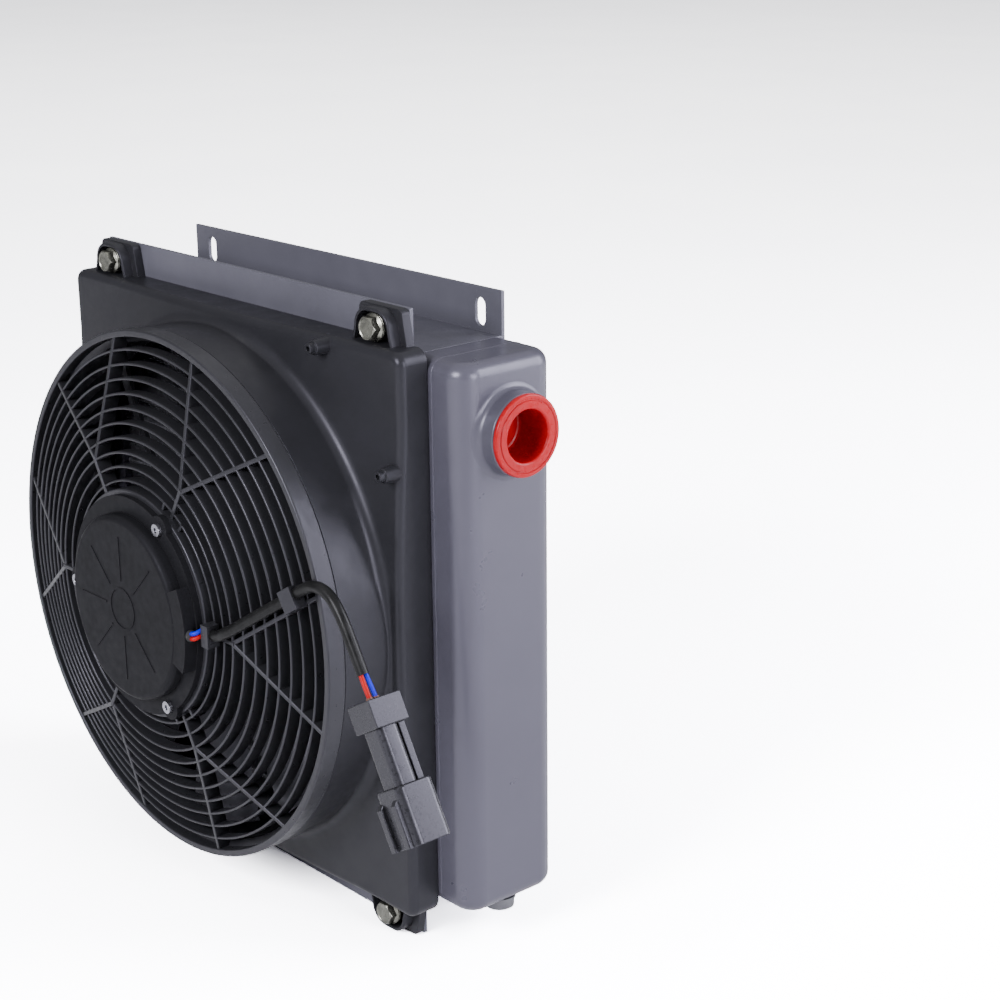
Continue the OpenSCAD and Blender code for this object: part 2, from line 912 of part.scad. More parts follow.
module bearing_solid(y0) {
    difference() {
        y_tube(bearing_r, 4, y0, y0 + bearing_len);
        y_tube(9, 6, y0 - 1, y0 + 0.5);
        y_tube(9, 6, y0 + bearing_len - 0.5, y0 + bearing_len + 1);
    }
}

module front_bearing() {
    color([0.72, 0.72, 0.74]) at_axis() bearing_solid(front_bearing_y);
}

module rear_bearing() {
    color([0.72, 0.72, 0.74]) at_axis() bearing_solid(rear_bearing_y);
}

module armature_core() {
    color([0.5, 0.5, 0.52])
    at_axis()
        difference() {
            y_tube(armature_r, 4, armature_front, armature_back);
            for (a = [0 : 30 : 330])
                rotate([0, -a, 0])
                    translate([24, -63, -2]) cube([16, 18, 4]);
        }
}

module armature_windings() {
    color([0.72, 0.38, 0.16])
    at_axis() {
        y_tube(winding_r, winding_in_r, armature_front - winding_len, armature_front);
        y_tube(winding_r, winding_in_r, armature_back, armature_back + winding_len);
        for (a = [0 : 30 : 330])
            rotate([0, -a, 0])
                translate([25, -62.5, -1.8]) cube([8.5, 17, 3.6]);
    }
}

module commutator() {
    color([0.75, 0.42, 0.2])
    at_axis()
        difference() {
            y_tube(commutator_r, 4, -76, -68);
            for (a = [0 : 30 : 330])
                rotate([0, -a, 0])
                    translate([11.5, -77, -0.3]) cube([3, 8, 0.6]);
        }
}

module magnets() {
    color([0.3, 0.3, 0.31])
    at_axis()
        for (a = [45 : 90 : 315])
            intersection() {
                y_tube(can_r - can_wall, armature_r + 1, -68, -42);
                rotate([0, -a, 0]) y_sector(60, -33, 33, -70, -40);
            }
}

module brush_plate() {
    color([0.55, 0.4, 0.25])
    at_axis() y_tube(52, 16, brush_y - 2, brush_y);
}

module brushes() {
    color([0.22, 0.22, 0.23])
    at_axis()
        for (a = [0 : 90 : 270])
            rotate([0, -a, 0])
                translate([commutator_r + 0.2, brush_y, -brush_w / 2])
                    cube([brush_len, brush_w, brush_w]);
}

// ---------- lead and connector ----------

module lead_grommet() {
    color([0.1, 0.1, 0.1])
    translate([0, outlet_y, outlet_z])
        difference() {
            x_cyl(3.5, outlet_r - 6, outlet_r + 1.5);
            for (side = [-1, 1])
                translate([0, 0, side * wire_gap]) x_cyl(wire_r + 0.02, 50, 80);
        }
}

// One wire from the motor outlet to the mouth of the sleeve
module motor_lead(side) {
    z0 = outlet_z + side * wire_gap;
    z1 = run_z + side * wire_gap;
    rise = z1 - z0;
    swept_tube([
        [64, outlet_y, z0], [69.2, outlet_y, z0], [71, outlet_y + 0.9, z0 + rise * 0.15],
        [72.2, outlet_y + 2.8, z0 + rise * 0.5], [72.9, outlet_y + 5, z0 + rise * 0.85],
        [run_start, run_y, z1]
    ], wire_r, 8);
}

module red_lead() {
    color([0.85, 0.05, 0.05]) motor_lead(-1);
}

module blue_lead() {
    color([0.1, 0.15, 0.95]) motor_lead(1);
}

// The lead's centre at a distance s along the fork
function fork_point(s) = [fork_r, -fork_front, axis_z]
    + s * fork_dir + sleeve_up * fork_up + sleeve_out * fork_out;

// Local frame at a point of the lead on the fork, x along it and z up across it
module on_fork(s) {
    translate(fork_point(s))
        rotate([0, -atan2(fork_dir[2], fork_dir[0]), 0])
            rotate([0, 0, asin(fork_dir[1])]) children();
}

// Clips moulded to snap on the guard; each has a bore for the sleeve
module cable_clips() {
    bore_r = sleeve_r + 0.05;
    color([0.16, 0.16, 0.17]) {
        difference() {
            translate([clip_a_x, run_y - 4.8, run_z - 8]) cube([7, 4.8 + run_lift, 14]);
            translate([0, run_y, run_z]) x_cyl(bore_r, clip_a_x - 1, clip_a_x + 8);
        }
        on_fork(clip_b_s)
            difference() {
                translate([-clip_len / 2, -5, -sleeve_up - 2])
                    cube([clip_len, 5 + sleeve_out, sleeve_up + 7]);
                x_cyl(bore_r, -clip_len, clip_len);
            }
    }
}

module cable_run() {
    start = [for (x = [run_start, clip_a_x + 3, clip_a_x + 7]) [x, run_y, run_z]];
    bend = [[86, run_y, run_z + 0.7], [90, run_y - 0.1, run_z + 2.3], [94, -75.3, run_z + 4.7]];
    fork = [for (s = [8 : 10 : 48]) fork_point(s)];
    clip = [for (s = [-clip_len / 2, clip_len / 2]) fork_point(clip_b_s + s)];
    color([0.09, 0.09, 0.09])
    swept_tube(concat(start, bend, fork, clip), sleeve_r, 12);
}

module cable_sleeve() {
    exit = fork_point(clip_b_s + clip_len / 2);
    color([0.09, 0.09, 0.09])
    swept_tube(concat([exit], sleeve_route), sleeve_r, 12);
}

// A bare wire from the end of the sleeve into the connector
module tail_wire(side) {
    sleeve_end = sleeve_route[len(sleeve_route) - 1];
    across = side * wire_gap * [0, 1, 0];
    swept_tube([sleeve_end + across, (sleeve_end + plug_top) / 2 + 1.2 * across,
                plug_top + 1.3 * across], wire_r, 8);
}

module red_tail() {
    color([0.85, 0.05, 0.05]) tail_wire(-1);
}

module blue_tail() {
    color([0.1, 0.15, 0.95]) tail_wire(1);
}

// Connector frame: z runs back up the lead, and the wires enter at z = 0
module in_connector() {
    translate(plug_top) rotate([0, -plug_tilt, 0]) children();
}

module connector_cap() {
    color([0.14, 0.14, 0.15])
    in_connector()
        difference() {
            translate([-plug_cap_w / 2, -plug_cap_w / 2, -plug_cap_len])
                cube([plug_cap_w, plug_cap_w, plug_cap_len]);
            for (side = [-1, 1])
                translate([-12, side * 5 - 2.2, -5]) cube([4, 4.4, 6]);
            translate([-8, -8, -plug_cap_len - 1]) cube([16, 16, 4]);
        }
}

module connector_housing() {
    body = plug_cap_len + plug_body_len;
    color([0.13, 0.13, 0.14])
    in_connector()
        difference() {
            union() {
                translate([-plug_body_w / 2, -9, -body])
                    cube([plug_body_w, plug_body_d, plug_body_len]);
                translate([-8, -8, -plug_cap_len]) cube([16, 12, 3]);
                translate([4, 7.5, -body]) cube([3, 2.5, plug_body_len]);
                translate([-plug_mouth_w / 2, -plug_mouth_d / 2, -body - plug_mouth_len])
                    cube([plug_mouth_w, plug_mouth_d, plug_mouth_len]);
                for (x = [-11, 3])
                    translate([x, -15, -body - plug_mouth_len])
                        cube([5, 3, plug_mouth_len - 6]);
            }
            translate([-9.5, -10, -body - plug_mouth_len - 1])
                cube([19, 20, plug_mouth_len - 5]);
        }
}

module connector_seals() {
    color([0.75, 0.35, 0.15])
    in_connector()
        for (side = [-1, 1])
            translate([0, side * 2.2, 0]) cylinder(r = 2, h = 1.2);
}

module connector_terminals() {
    body = plug_cap_len + plug_body_len;
    color([0.8, 0.72, 0.45])
    in_connector()
        for (side = [-1, 1])
            translate([-terminal_t / 2, side * 5 - terminal_w / 2, -body - 18])
                cube([terminal_t, terminal_w, 14]);
}

core_tubes();
core_fins();
core_side_plates();
left_header();
right_header();
left_tank();
right_tank();
left_port_boss();
right_port_boss();
left_port_plug();
right_port_plug();
drain_plugs();
drain_washers();
top_channel();
bottom_channel();
shroud();
shroud_bolts();
shroud_washers();
shroud_spacers();
shroud_nuts();
fan_guard();
impeller();
impeller_clip();
motor_cover();
motor_can();
motor_screws();
motor_shaft();
front_bearing();
rear_bearing();
armature_core();
armature_windings();
commutator();
magnets();
brush_plate();
brushes();
lead_grommet();
cable_clips();
red_lead();
blue_lead();
cable_run();
cable_sleeve();
red_tail();
blue_tail();
connector_housing();
connector_cap();
connector_seals();
connector_terminals();
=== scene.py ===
import json
import math
import random

import bmesh
import bpy
from mathutils import Matrix, Vector
from mathutils.geometry import tessellate_polygon


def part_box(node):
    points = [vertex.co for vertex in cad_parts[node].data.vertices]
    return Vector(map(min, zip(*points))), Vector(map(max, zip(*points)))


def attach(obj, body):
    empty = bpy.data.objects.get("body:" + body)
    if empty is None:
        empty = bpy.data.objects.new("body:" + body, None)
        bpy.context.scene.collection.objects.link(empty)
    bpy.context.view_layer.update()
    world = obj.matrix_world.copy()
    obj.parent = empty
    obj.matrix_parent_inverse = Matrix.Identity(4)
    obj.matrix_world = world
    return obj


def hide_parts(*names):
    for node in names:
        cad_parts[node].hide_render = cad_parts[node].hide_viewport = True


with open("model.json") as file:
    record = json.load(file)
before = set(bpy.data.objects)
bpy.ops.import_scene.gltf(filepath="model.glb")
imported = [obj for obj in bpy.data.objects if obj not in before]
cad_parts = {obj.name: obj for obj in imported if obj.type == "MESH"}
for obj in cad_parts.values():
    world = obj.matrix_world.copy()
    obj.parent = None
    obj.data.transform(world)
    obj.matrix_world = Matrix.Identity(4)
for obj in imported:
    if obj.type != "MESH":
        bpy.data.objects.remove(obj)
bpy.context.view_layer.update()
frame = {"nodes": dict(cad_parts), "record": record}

NODES = frame["nodes"]
MM = 0.001


def box_mm(node):
    """Lowest and highest corner of a CAD node, in millimetres."""
    low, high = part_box(node)
    return [c / MM for c in low], [c / MM for c in high]


# ---------- sizes in millimetres, taken from the frame ----------

shroud_low, shroud_high = box_mm("shroud")
tank_low, tank_high = box_mm("right_tank")
header_low, header_high = box_mm("right_header")
boss_low, boss_high = box_mm("right_port_boss")
fins_low, fins_high = box_mm("core_fins")
tubes_low, tubes_high = box_mm("core_tubes")

AXIS_Z = (shroud_low[2] + shroud_high[2]) / 2
PORT_Z = (boss_low[2] + boss_high[2]) / 2
TANK_MID_Y = (tank_low[1] + tank_high[1]) / 2
TANK_REACH = tank_high[0]
PLUG_FACE = box_mm("right_port_plug")[1][0]

SHROUD_HALF_W = shroud_high[0]
SHROUD_HALF_H = 174.8
SHROUD_BACK = shroud_high[1]
TUNNEL_FRONT = -44
TUNNEL_IN_R = 160.5
TUNNEL_LIP_R = 166.6
TUNNEL_FOOT_R = 165
CONE_BASE_R = 211
CONE_RISE = 6
FACE_Y = -4

BOLT_X = 139
BOLT_RISE = 183.5

TUBE_COUNT = 20
TUBE_T = 4
FIN_PITCH = 3.4
FIN_SHEET = 0.16


# ---------- camera and cord come first ----------

CAMERA_PLACE = (1.0418, -0.6996, 0.6362)
CAMERA_AZIMUTH = 48.52
CAMERA_ELEVATION = 17.48
CAMERA_ROLL = -0.6
CAMERA_LENS = 74.65


def make_camera():
    data = bpy.data.cameras.new("camera")
    data.lens = CAMERA_LENS
    data.sensor_width = 36
    camera = bpy.data.objects.new("camera", data)
    turn = Matrix.Rotation(math.radians(CAMERA_AZIMUTH), 4, "Z")
    tilt = Matrix.Rotation(math.radians(90 - CAMERA_ELEVATION), 4, "X")
    roll = Matrix.Rotation(math.radians(CAMERA_ROLL), 4, "Z")
    camera.matrix_world = Matrix.Translation(CAMERA_PLACE) @ turn @ tilt @ roll
    bpy.context.scene.collection.objects.link(camera)
    bpy.context.scene.camera = camera


# ---------- mesh helpers, all in millimetres ----------

SHARP_ABOVE = 38
PINHOLE_R = 0.01


def unit(v):
    return Vector(v).normalized()


def to_axis(points):
    """Points drawn round the fan axis, lifted to its height."""
    return [(x, y, z + AXIS_Z) for x, y, z in points]


def link_piece(name, mesh, body, slot, replaces=()):
    """Adds a piece that rides on a body, looks like its slot and stands for CAD nodes."""
    piece = bpy.data.objects.new(name, mesh)
    bpy.context.scene.collection.objects.link(piece)
    mesh.materials.clear()
    mesh.materials.append(MATERIALS[slot])
    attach(piece, body)
    if replaces:
        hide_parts(*replaces)
    even = piece.modifiers.new("even_shading", "WEIGHTED_NORMAL")
    even.keep_sharp = True
    return piece


def smooth_by_angle(bm, limit):
    for face in bm.faces:
        face.smooth = True
    for edge in bm.edges:
        if len(edge.link_faces) == 2:
            edge.smooth = edge.calc_face_angle(0) < math.radians(limit)


def mesh_from(name, parts, sharp=SHARP_ABOVE):
    """One mesh from closed parts, each (points, faces); normals are made to face outwards."""
    bm = bmesh.new()
    for points, faces in parts:
        made = [bm.verts.new([c * MM for c in p]) for p in points]
        new_faces = []
        for face in faces:
            try:
                new_faces.append(bm.faces.new([made[i] for i in face]))
            except ValueError:
                pass
        bmesh.ops.recalc_face_normals(bm, faces=new_faces)
    smooth_by_angle(bm, sharp)
    mesh = bpy.data.meshes.new(name)
    bm.to_mesh(mesh)
    bm.free()
    return mesh


def loft(rings, closed=True):
    """Quads between rings of equally many points; an open loft gets both ends capped."""
    count = len(rings[0])
    points = [p for ring in rings for p in ring]
    faces = []
    steps = len(rings) if closed else len(rings) - 1
    for i in range(steps):
        a = i * count
        b = (i + 1) % len(rings) * count
        for k in range(count):
            n = (k + 1) % count
            faces.append((a + k, a + n, b + n, b + k))
    if not closed:
        faces.append(tuple(range(count)))
        faces.append(tuple(range(len(points) - count, len(points))))
    return points, faces


def arc(centre, r, a0, a1, steps):
    """Points of an arc in a plane, angles in degrees."""
    out = []
    for i in range(steps + 1):
        a = math.radians(a0 + (a1 - a0) * i / steps)
        out.append((centre[0] + r * math.cos(a), centre[1] + r * math.sin(a)))
    return out


def rounded_outline(corners):
    """Closed outline with rounded corners; each corner is (x, y, radius)."""
    out = []
    count = len(corners)
    for i, (x, y, r) in enumerate(corners):
        here = Vector((x, y))
        before = (Vector(corners[i - 1][:2]) - here).normalized()
        after = (Vector(corners[(i + 1) % count][:2]) - here).normalized()
        if r <= 0:
            out.append((x, y))
            continue
        half = before.angle(after) / 2
        reach = r / math.tan(half)
        centre = here + (before + after).normalized() * r / math.sin(half)
        start = here + before * reach - centre
        end = here + after * reach - centre
        turn = start.angle_signed(end)
        steps = max(2, int(abs(turn) / 0.25))
        for k in range(steps + 1):
            p = start.copy()
            p.rotate(Matrix.Rotation(-turn * k / steps, 2))
            out.append((centre.x + p.x, centre.y + p.y))
    return out


def revolve(outline, count=128):
    """Solid of revolution about the fan direction from a closed (radius, y) outline."""
    rings = []
    for k in range(count):
        a = 2 * math.pi * k / count
        rings.append([(r * math.cos(a), y, r * math.sin(a)) for r, y in outline])
    return loft(rings)


def moved(part, offset=(0, 0, 0), matrix=None):
    points, faces = part
    out = []
    for p in points:
        v = Vector(p)
        if matrix:
            v = matrix @ v
        out.append(tuple(v + Vector(offset)))
    return out, faces


def frame_along(direction):
    """Two directions square to a direction."""
    d = unit(direction)
    side = unit(d.cross(Vector((0.01, 1, 0.02))))
    return side, side.cross(d)


def swept(points, r, count):
    """Closed tube along points."""
    rings = []
    for i, p in enumerate(points):
        ahead = Vector(points[min(i + 1, len(points) - 1)])
        behind = Vector(points[max(i - 1, 0)])
        side, up = frame_along(ahead - behind)
        ring = []
        for k in range(count):
            a = 2 * math.pi * k / count
            ring.append(tuple(Vector(p) + r * (math.cos(a) * side + math.sin(a) * up)))
        rings.append(ring)
    return loft(rings, closed=False)


def spline(points, per_step=4):
    """Catmull-Rom points through a route."""
    route = [Vector(p) for p in points]
    route = [2 * route[0] - route[1]] + route + [2 * route[-1] - route[-2]]
    out = []
    for i in range(1, len(route) - 2):
        a, b, c, d = route[i - 1:i + 3]
        for k in range(per_step):
            t = k / per_step
            out.append(0.5 * (2 * b + (c - a) * t + (2 * a - 5 * b + 4 * c - d) * t ** 2
                              + (3 * b - a - 3 * c + d) * t ** 3))
    out.append(route[-2])
    return [tuple(p) for p in out]


def cylinder_y(r, y0, y1, edge):
    """Disc along y with rounded rims and a pinhole on its axis."""
    outline = [(PINHOLE_R, y0)] + arc((r - edge, y0 + edge), edge, -90, 0, 3)
    outline += arc((r - edge, y1 - edge), edge, 0, 90, 3) + [(PINHOLE_R, y1)]
    return revolve(outline, 48)


def rounded_prism(outline, z0, z1, edge):
    """Prism of an (x, y) outline with a small rounding at both ends."""
    centre = Vector((sum(p[0] for p in outline), sum(p[1] for p in outline))) / len(outline)
    rings = []
    for depth, z in ((edge, z0), (edge * 0.3, z0 + edge * 0.3), (0, z0 + edge),
                     (0, z1 - edge), (edge * 0.3, z1 - edge * 0.3), (edge, z1)):
        ring = []
        for x, y in outline:
            away = Vector((x, y)) - centre
            shrink = 1 - depth / max(away.length, depth * 2)
            ring.append((centre.x + away.x * shrink, centre.y + away.y * shrink, z))
        rings.append(ring)
    return loft(rings, closed=False)


def rect(x0, x1, y0, y1, r):
    return rounded_outline([(x0, y0, r), (x1, y0, r), (x1, y1, r), (x0, y1, r)])


# ---------- materials ----------

NOISE_ROUGHNESS = 0.55
GRAIN_STRENGTH = 0.25


def node_tree(name):
    material = bpy.data.materials.new(name)
    material.use_nodes = True
    nodes = material.node_tree.nodes
    return material, nodes, material.node_tree.links, nodes["Principled BSDF"]


def mapped_noise(nodes, links, scale, stretch=(1, 1, 1), detail=4.0):
    place = nodes.new("ShaderNodeTexCoord")
    mapping = nodes.new("ShaderNodeMapping")
    mapping.inputs["Scale"].default_value = stretch
    noise = nodes.new("ShaderNodeTexNoise")
    noise.inputs["Scale"].default_value = scale
    noise.inputs["Detail"].default_value = detail
    noise.inputs["Roughness"].default_value = NOISE_ROUGHNESS
    links.new(place.outputs["Object"], mapping.inputs["Vector"])
    links.new(mapping.outputs["Vector"], noise.inputs["Vector"])
    return noise.outputs["Fac"]


def ramp(nodes, links, fac, stops):
    node = nodes.new("ShaderNodeValToRGB")
    while len(node.color_ramp.elements) < len(stops):
        node.color_ramp.elements.new(0.5)
    for element, (place, colour) in zip(node.color_ramp.elements, stops):
        element.position = place
        element.color = (*colour, 1)
    links.new(fac, node.inputs["Fac"])
    return node.outputs["Color"]


def spread(nodes, links, fac, low, high):
    node = nodes.new("ShaderNodeMapRange")
    node.inputs["From Min"].default_value = 0.3
    node.inputs["From Max"].default_value = 0.7
    node.inputs["To Min"].default_value = low
    node.inputs["To Max"].default_value = high
    links.new(fac, node.inputs["Value"])
    return node.outputs["Result"]


def bump(nodes, links, heights, shader):
    """Stacks bumps; each is (height output, distance in metres, strength)."""
    last = None
    for height, distance, strength in heights:
        node = nodes.new("ShaderNodeBump")
        node.inputs["Distance"].default_value = distance
        node.inputs["Strength"].default_value = strength
        links.new(height, node.inputs["Height"])
        if last:
            links.new(last.outputs["Normal"], node.inputs["Normal"])
        last = node
    links.new(last.outputs["Normal"], shader.inputs["Normal"])


def shade(colour, factor):
    return tuple(min(1, c * factor) for c in colour)


def surface(name, colour, roughness, metallic=0.0, cloud=22, contrast=0.12, grain=900,
            grain_depth=0.00006, stretch=(1, 1, 1), specular=0.5, tint=(1, 1, 1),
            rough_spread=0.07):
    """A worn, slightly uneven surface: clouded colour, varied gloss and fine grain."""
    material, nodes, links, shader = node_tree(name)
    clouds = mapped_noise(nodes, links, cloud, stretch, detail=5)
    base = ramp(nodes, links, clouds, [
        (0.3, shade(colour, 1 - contrast)), (0.5, colour), (0.72, shade(colour, 1 + contrast))])
    links.new(base, shader.inputs["Base Color"])
    speck = mapped_noise(nodes, links, cloud * 7, stretch, detail=3)
    links.new(spread(nodes, links, speck, roughness - rough_spread, roughness + rough_spread),
              shader.inputs["Roughness"])
    shader.inputs["Metallic"].default_value = metallic
    shader.inputs["Specular IOR Level"].default_value = specular
    shader.inputs["Specular Tint"].default_value = (*tint, 1)
    fine = mapped_noise(nodes, links, grain, stretch, detail=2)
    bump(nodes, links, [(fine, grain_depth, GRAIN_STRENGTH)], shader)
    return material


def woven_sleeve():
    """Black tubing with the faint cross weave of a braided sleeve."""
    material, nodes, links, shader = node_tree("sleeve_black")
    clouds = mapped_noise(nodes, links, 120)
    base = ramp(nodes, links, clouds, [(0.3, (0.003, 0.003, 0.003)), (0.7, (0.008, 0.008, 0.008))])
    links.new(base, shader.inputs["Base Color"])
    place = nodes.new("ShaderNodeTexCoord")
    heights = []
    for direction in ("X", "Z"):
        wave = nodes.new("ShaderNodeTexWave")
        wave.bands_direction = direction
        wave.inputs["Scale"].default_value = 420
        wave.inputs["Distortion"].default_value = 0.6
        links.new(place.outputs["Object"], wave.inputs["Vector"])
        heights.append((wave.outputs["Fac"], 0.00008, 0.2))
    links.new(spread(nodes, links, clouds, 0.28, 0.42), shader.inputs["Roughness"])
    shader.inputs["Specular IOR Level"].default_value = 0.15
    bump(nodes, links, heights, shader)
    return material


LAVENDER = (0.88, 0.86, 1.0)

MATERIALS = {
    "shroud_plastic": surface("shroud_plastic", (0.013, 0.013, 0.015), 0.36, cloud=9,
                              contrast=0.10, grain=1500, specular=0.2, tint=LAVENDER),
    "fan_plastic": surface("fan_plastic", (0.016, 0.016, 0.018), 0.34, cloud=30,
                           grain=1800, specular=0.3, tint=LAVENDER),
    "tank_grey": surface("tank_grey", (0.050, 0.048, 0.062), 0.34, metallic=0.1,
                         cloud=7, contrast=0.06, grain=700, grain_depth=0.00001,
                         tint=LAVENDER),
    "frame_grey": surface("frame_grey", (0.072, 0.071, 0.086), 0.42, metallic=0.1,
                          cloud=12, contrast=0.09, grain=800, tint=LAVENDER),
    "core_aluminium": surface("core_aluminium", (0.33, 0.33, 0.36), 0.38, metallic=0.85,
                              cloud=60, contrast=0.25, grain=1200, stretch=(1, 3, 1)),
    "red_plastic": surface("red_plastic", (0.27, 0.0, 0.003), 0.30, cloud=35,
                           contrast=0.10, grain=1400, grain_depth=0.00003, specular=0.2),
    "dark_steel": surface("dark_steel", (0.12, 0.12, 0.13), 0.42, metallic=0.9, cloud=90,
                          contrast=0.3, grain=1500),
    "zinc_steel": surface("zinc_steel", (0.20, 0.20, 0.17), 0.32, metallic=0.95, cloud=150,
                          contrast=0.35, grain=1800, rough_spread=0.1),
    "bright_steel": surface("bright_steel", (0.32, 0.32, 0.35), 0.26, metallic=0.95, cloud=140,
                            contrast=0.2, grain=2200),
    "copper": surface("copper", (0.70, 0.32, 0.14), 0.33, metallic=0.95, cloud=120,
                      contrast=0.25, grain=1500),
    "motor_black": surface("motor_black", (0.008, 0.008, 0.009), 0.46, cloud=26, contrast=0.15,
                           grain=1300, specular=0.05, tint=LAVENDER),
    "dark_ferrite": surface("dark_ferrite", (0.05, 0.05, 0.055), 0.6, cloud=90),
    "brush_board": surface("brush_board", (0.25, 0.14, 0.06), 0.5, cloud=90, contrast=0.25),
    "black_rubber": surface("black_rubber", (0.018, 0.018, 0.018), 0.55, cloud=60),
    "sleeve_black": woven_sleeve(),
    "red_wire": surface("red_wire", (0.30, 0.0, 0.0), 0.35, cloud=200,
                        grain=2500, grain_depth=0.00002, specular=0.15),
    "blue_wire": surface("blue_wire", (0.0, 0.001, 0.40), 0.35, cloud=200,
                         grain=2500, grain_depth=0.00002, specular=0.15),
    "connector_plastic": surface("connector_plastic", (0.011, 0.011, 0.0125), 0.30, cloud=60,
                                 contrast=0.12, grain=1600, grain_depth=0.00002,
                                 specular=0.4, tint=LAVENDER),
    "seal_rubber": surface("seal_rubber", (0.10, 0.03, 0.01), 0.5, cloud=150),
    "terminal_brass": surface("terminal_brass", (0.72, 0.58, 0.30), 0.28, metallic=0.95,
                              cloud=200, contrast=0.2),
}


# ---------- the lead: its route is the one that the CAD model follows ----------

SLEEVE_R = 3.5
WIRE_R = 1.4
FORK_R = 95
FORK_ANGLE = math.radians(15)
FORK_FRONT = 71.5
SPOKE_END_R = 164
SPOKE_END_Y = 54.8
SLEEVE_UP = 6.5
SLEEVE_OUT = 4.6
CLIP_B = 63
CLIP_LEN = 10
RUN_Y = -75.2
RUN_Z = AXIS_Z + 3
SLEEVE_ROUTE = [
    (151, -61.7, 45.4), (155, -61.3, 47.8), (159.4, -61, 49.8), (164, -61, 51.1),
    (168.6, -61, 51.4), (173.2, -61, 50.8), (177.6, -61.1, 49.2), (181.6, -61.3, 46.7),
    (185.2, -61.5, 43.5), (188.4, -61.5, 39.6), (191.4, -61.5, 35.3), (194.3, -61.5, 30.7),
    (197.2, -61.5, 25.9), (200.1, -61.5, 21.1), (203, -61.5, 16.3), (206, -61.5, 11.4),
]
PLUG_TOP = Vector((214.2, -61.5, AXIS_Z - 0.4))
PLUG_TILT = 30


def fork_frame():
    """Directions along a fork's prong, up in the fan's plane, and out of its front."""
    end = Vector((SPOKE_END_R * math.cos(FORK_ANGLE), 0, SPOKE_END_R * math.sin(FORK_ANGLE)))
    along = unit((end.x - FORK_R, FORK_FRONT - SPOKE_END_Y, end.z))
    up = unit((-along.z, 0, along.x))
    return along, up, along.cross(up)


FORK_DIR, FORK_UP, FORK_OUT = fork_frame()


def fork_point(s):
    start = Vector((FORK_R, -FORK_FRONT, AXIS_Z))
    return start + s * FORK_DIR + SLEEVE_UP * FORK_UP + SLEEVE_OUT * FORK_OUT


def make_cord():
    route = [tuple(fork_point(CLIP_B + CLIP_LEN / 2))] + to_axis(SLEEVE_ROUTE)
    path = spline(route, 4)
    mesh = mesh_from("fan_lead_sleeve", [swept(path, SLEEVE_R, 24)])
    sleeve = link_piece("fan_lead_sleeve", mesh, "cooler", "sleeve_black", ["cable_sleeve"])
    metres = [[c * MM for c in p] for p in path]
    length = sum(math.dist(a, b) for a, b in zip(metres, metres[1:]))
    return sleeve, metres, length


make_camera()
lead_sleeve, lead_path, lead_length = make_cord()


# ---------- shroud ----------

EDGE_R = 5
CORNER_R = 8
WALL = 3
SIDE_STEPS = 30


def cone_y(r):
    """Front of the shroud face at radius r: a shallow cone that ends at CONE_BASE_R."""
    reach = CONE_BASE_R - TUNNEL_FOOT_R
    return FACE_Y - CONE_RISE * max(0, CONE_BASE_R - r) / reach


def shroud_outline(inset):
    """Rounded rectangle, always with the same number of points."""
    half_w = SHROUD_HALF_W - inset
    half_h = SHROUD_HALF_H - inset
    r = max(CORNER_R - inset, 0.8)
    out = []
    for sx, sz, first in ((1, 1, 0), (-1, 1, 90), (-1, -1, 180), (1, -1, 270)):
        corner = arc((sx * (half_w - r), sz * (half_h - r)), r, first, first + 90, 8)
        if out:
            start = Vector(out[-1])
            out += [tuple(start.lerp(Vector(corner[0]), k / SIDE_STEPS))
                    for k in range(1, SIDE_STEPS)]
        out += corner
    start = Vector(out[-1])
    out += [tuple(start.lerp(Vector(out[0]), k / SIDE_STEPS)) for k in range(1, SIDE_STEPS)]
    return out


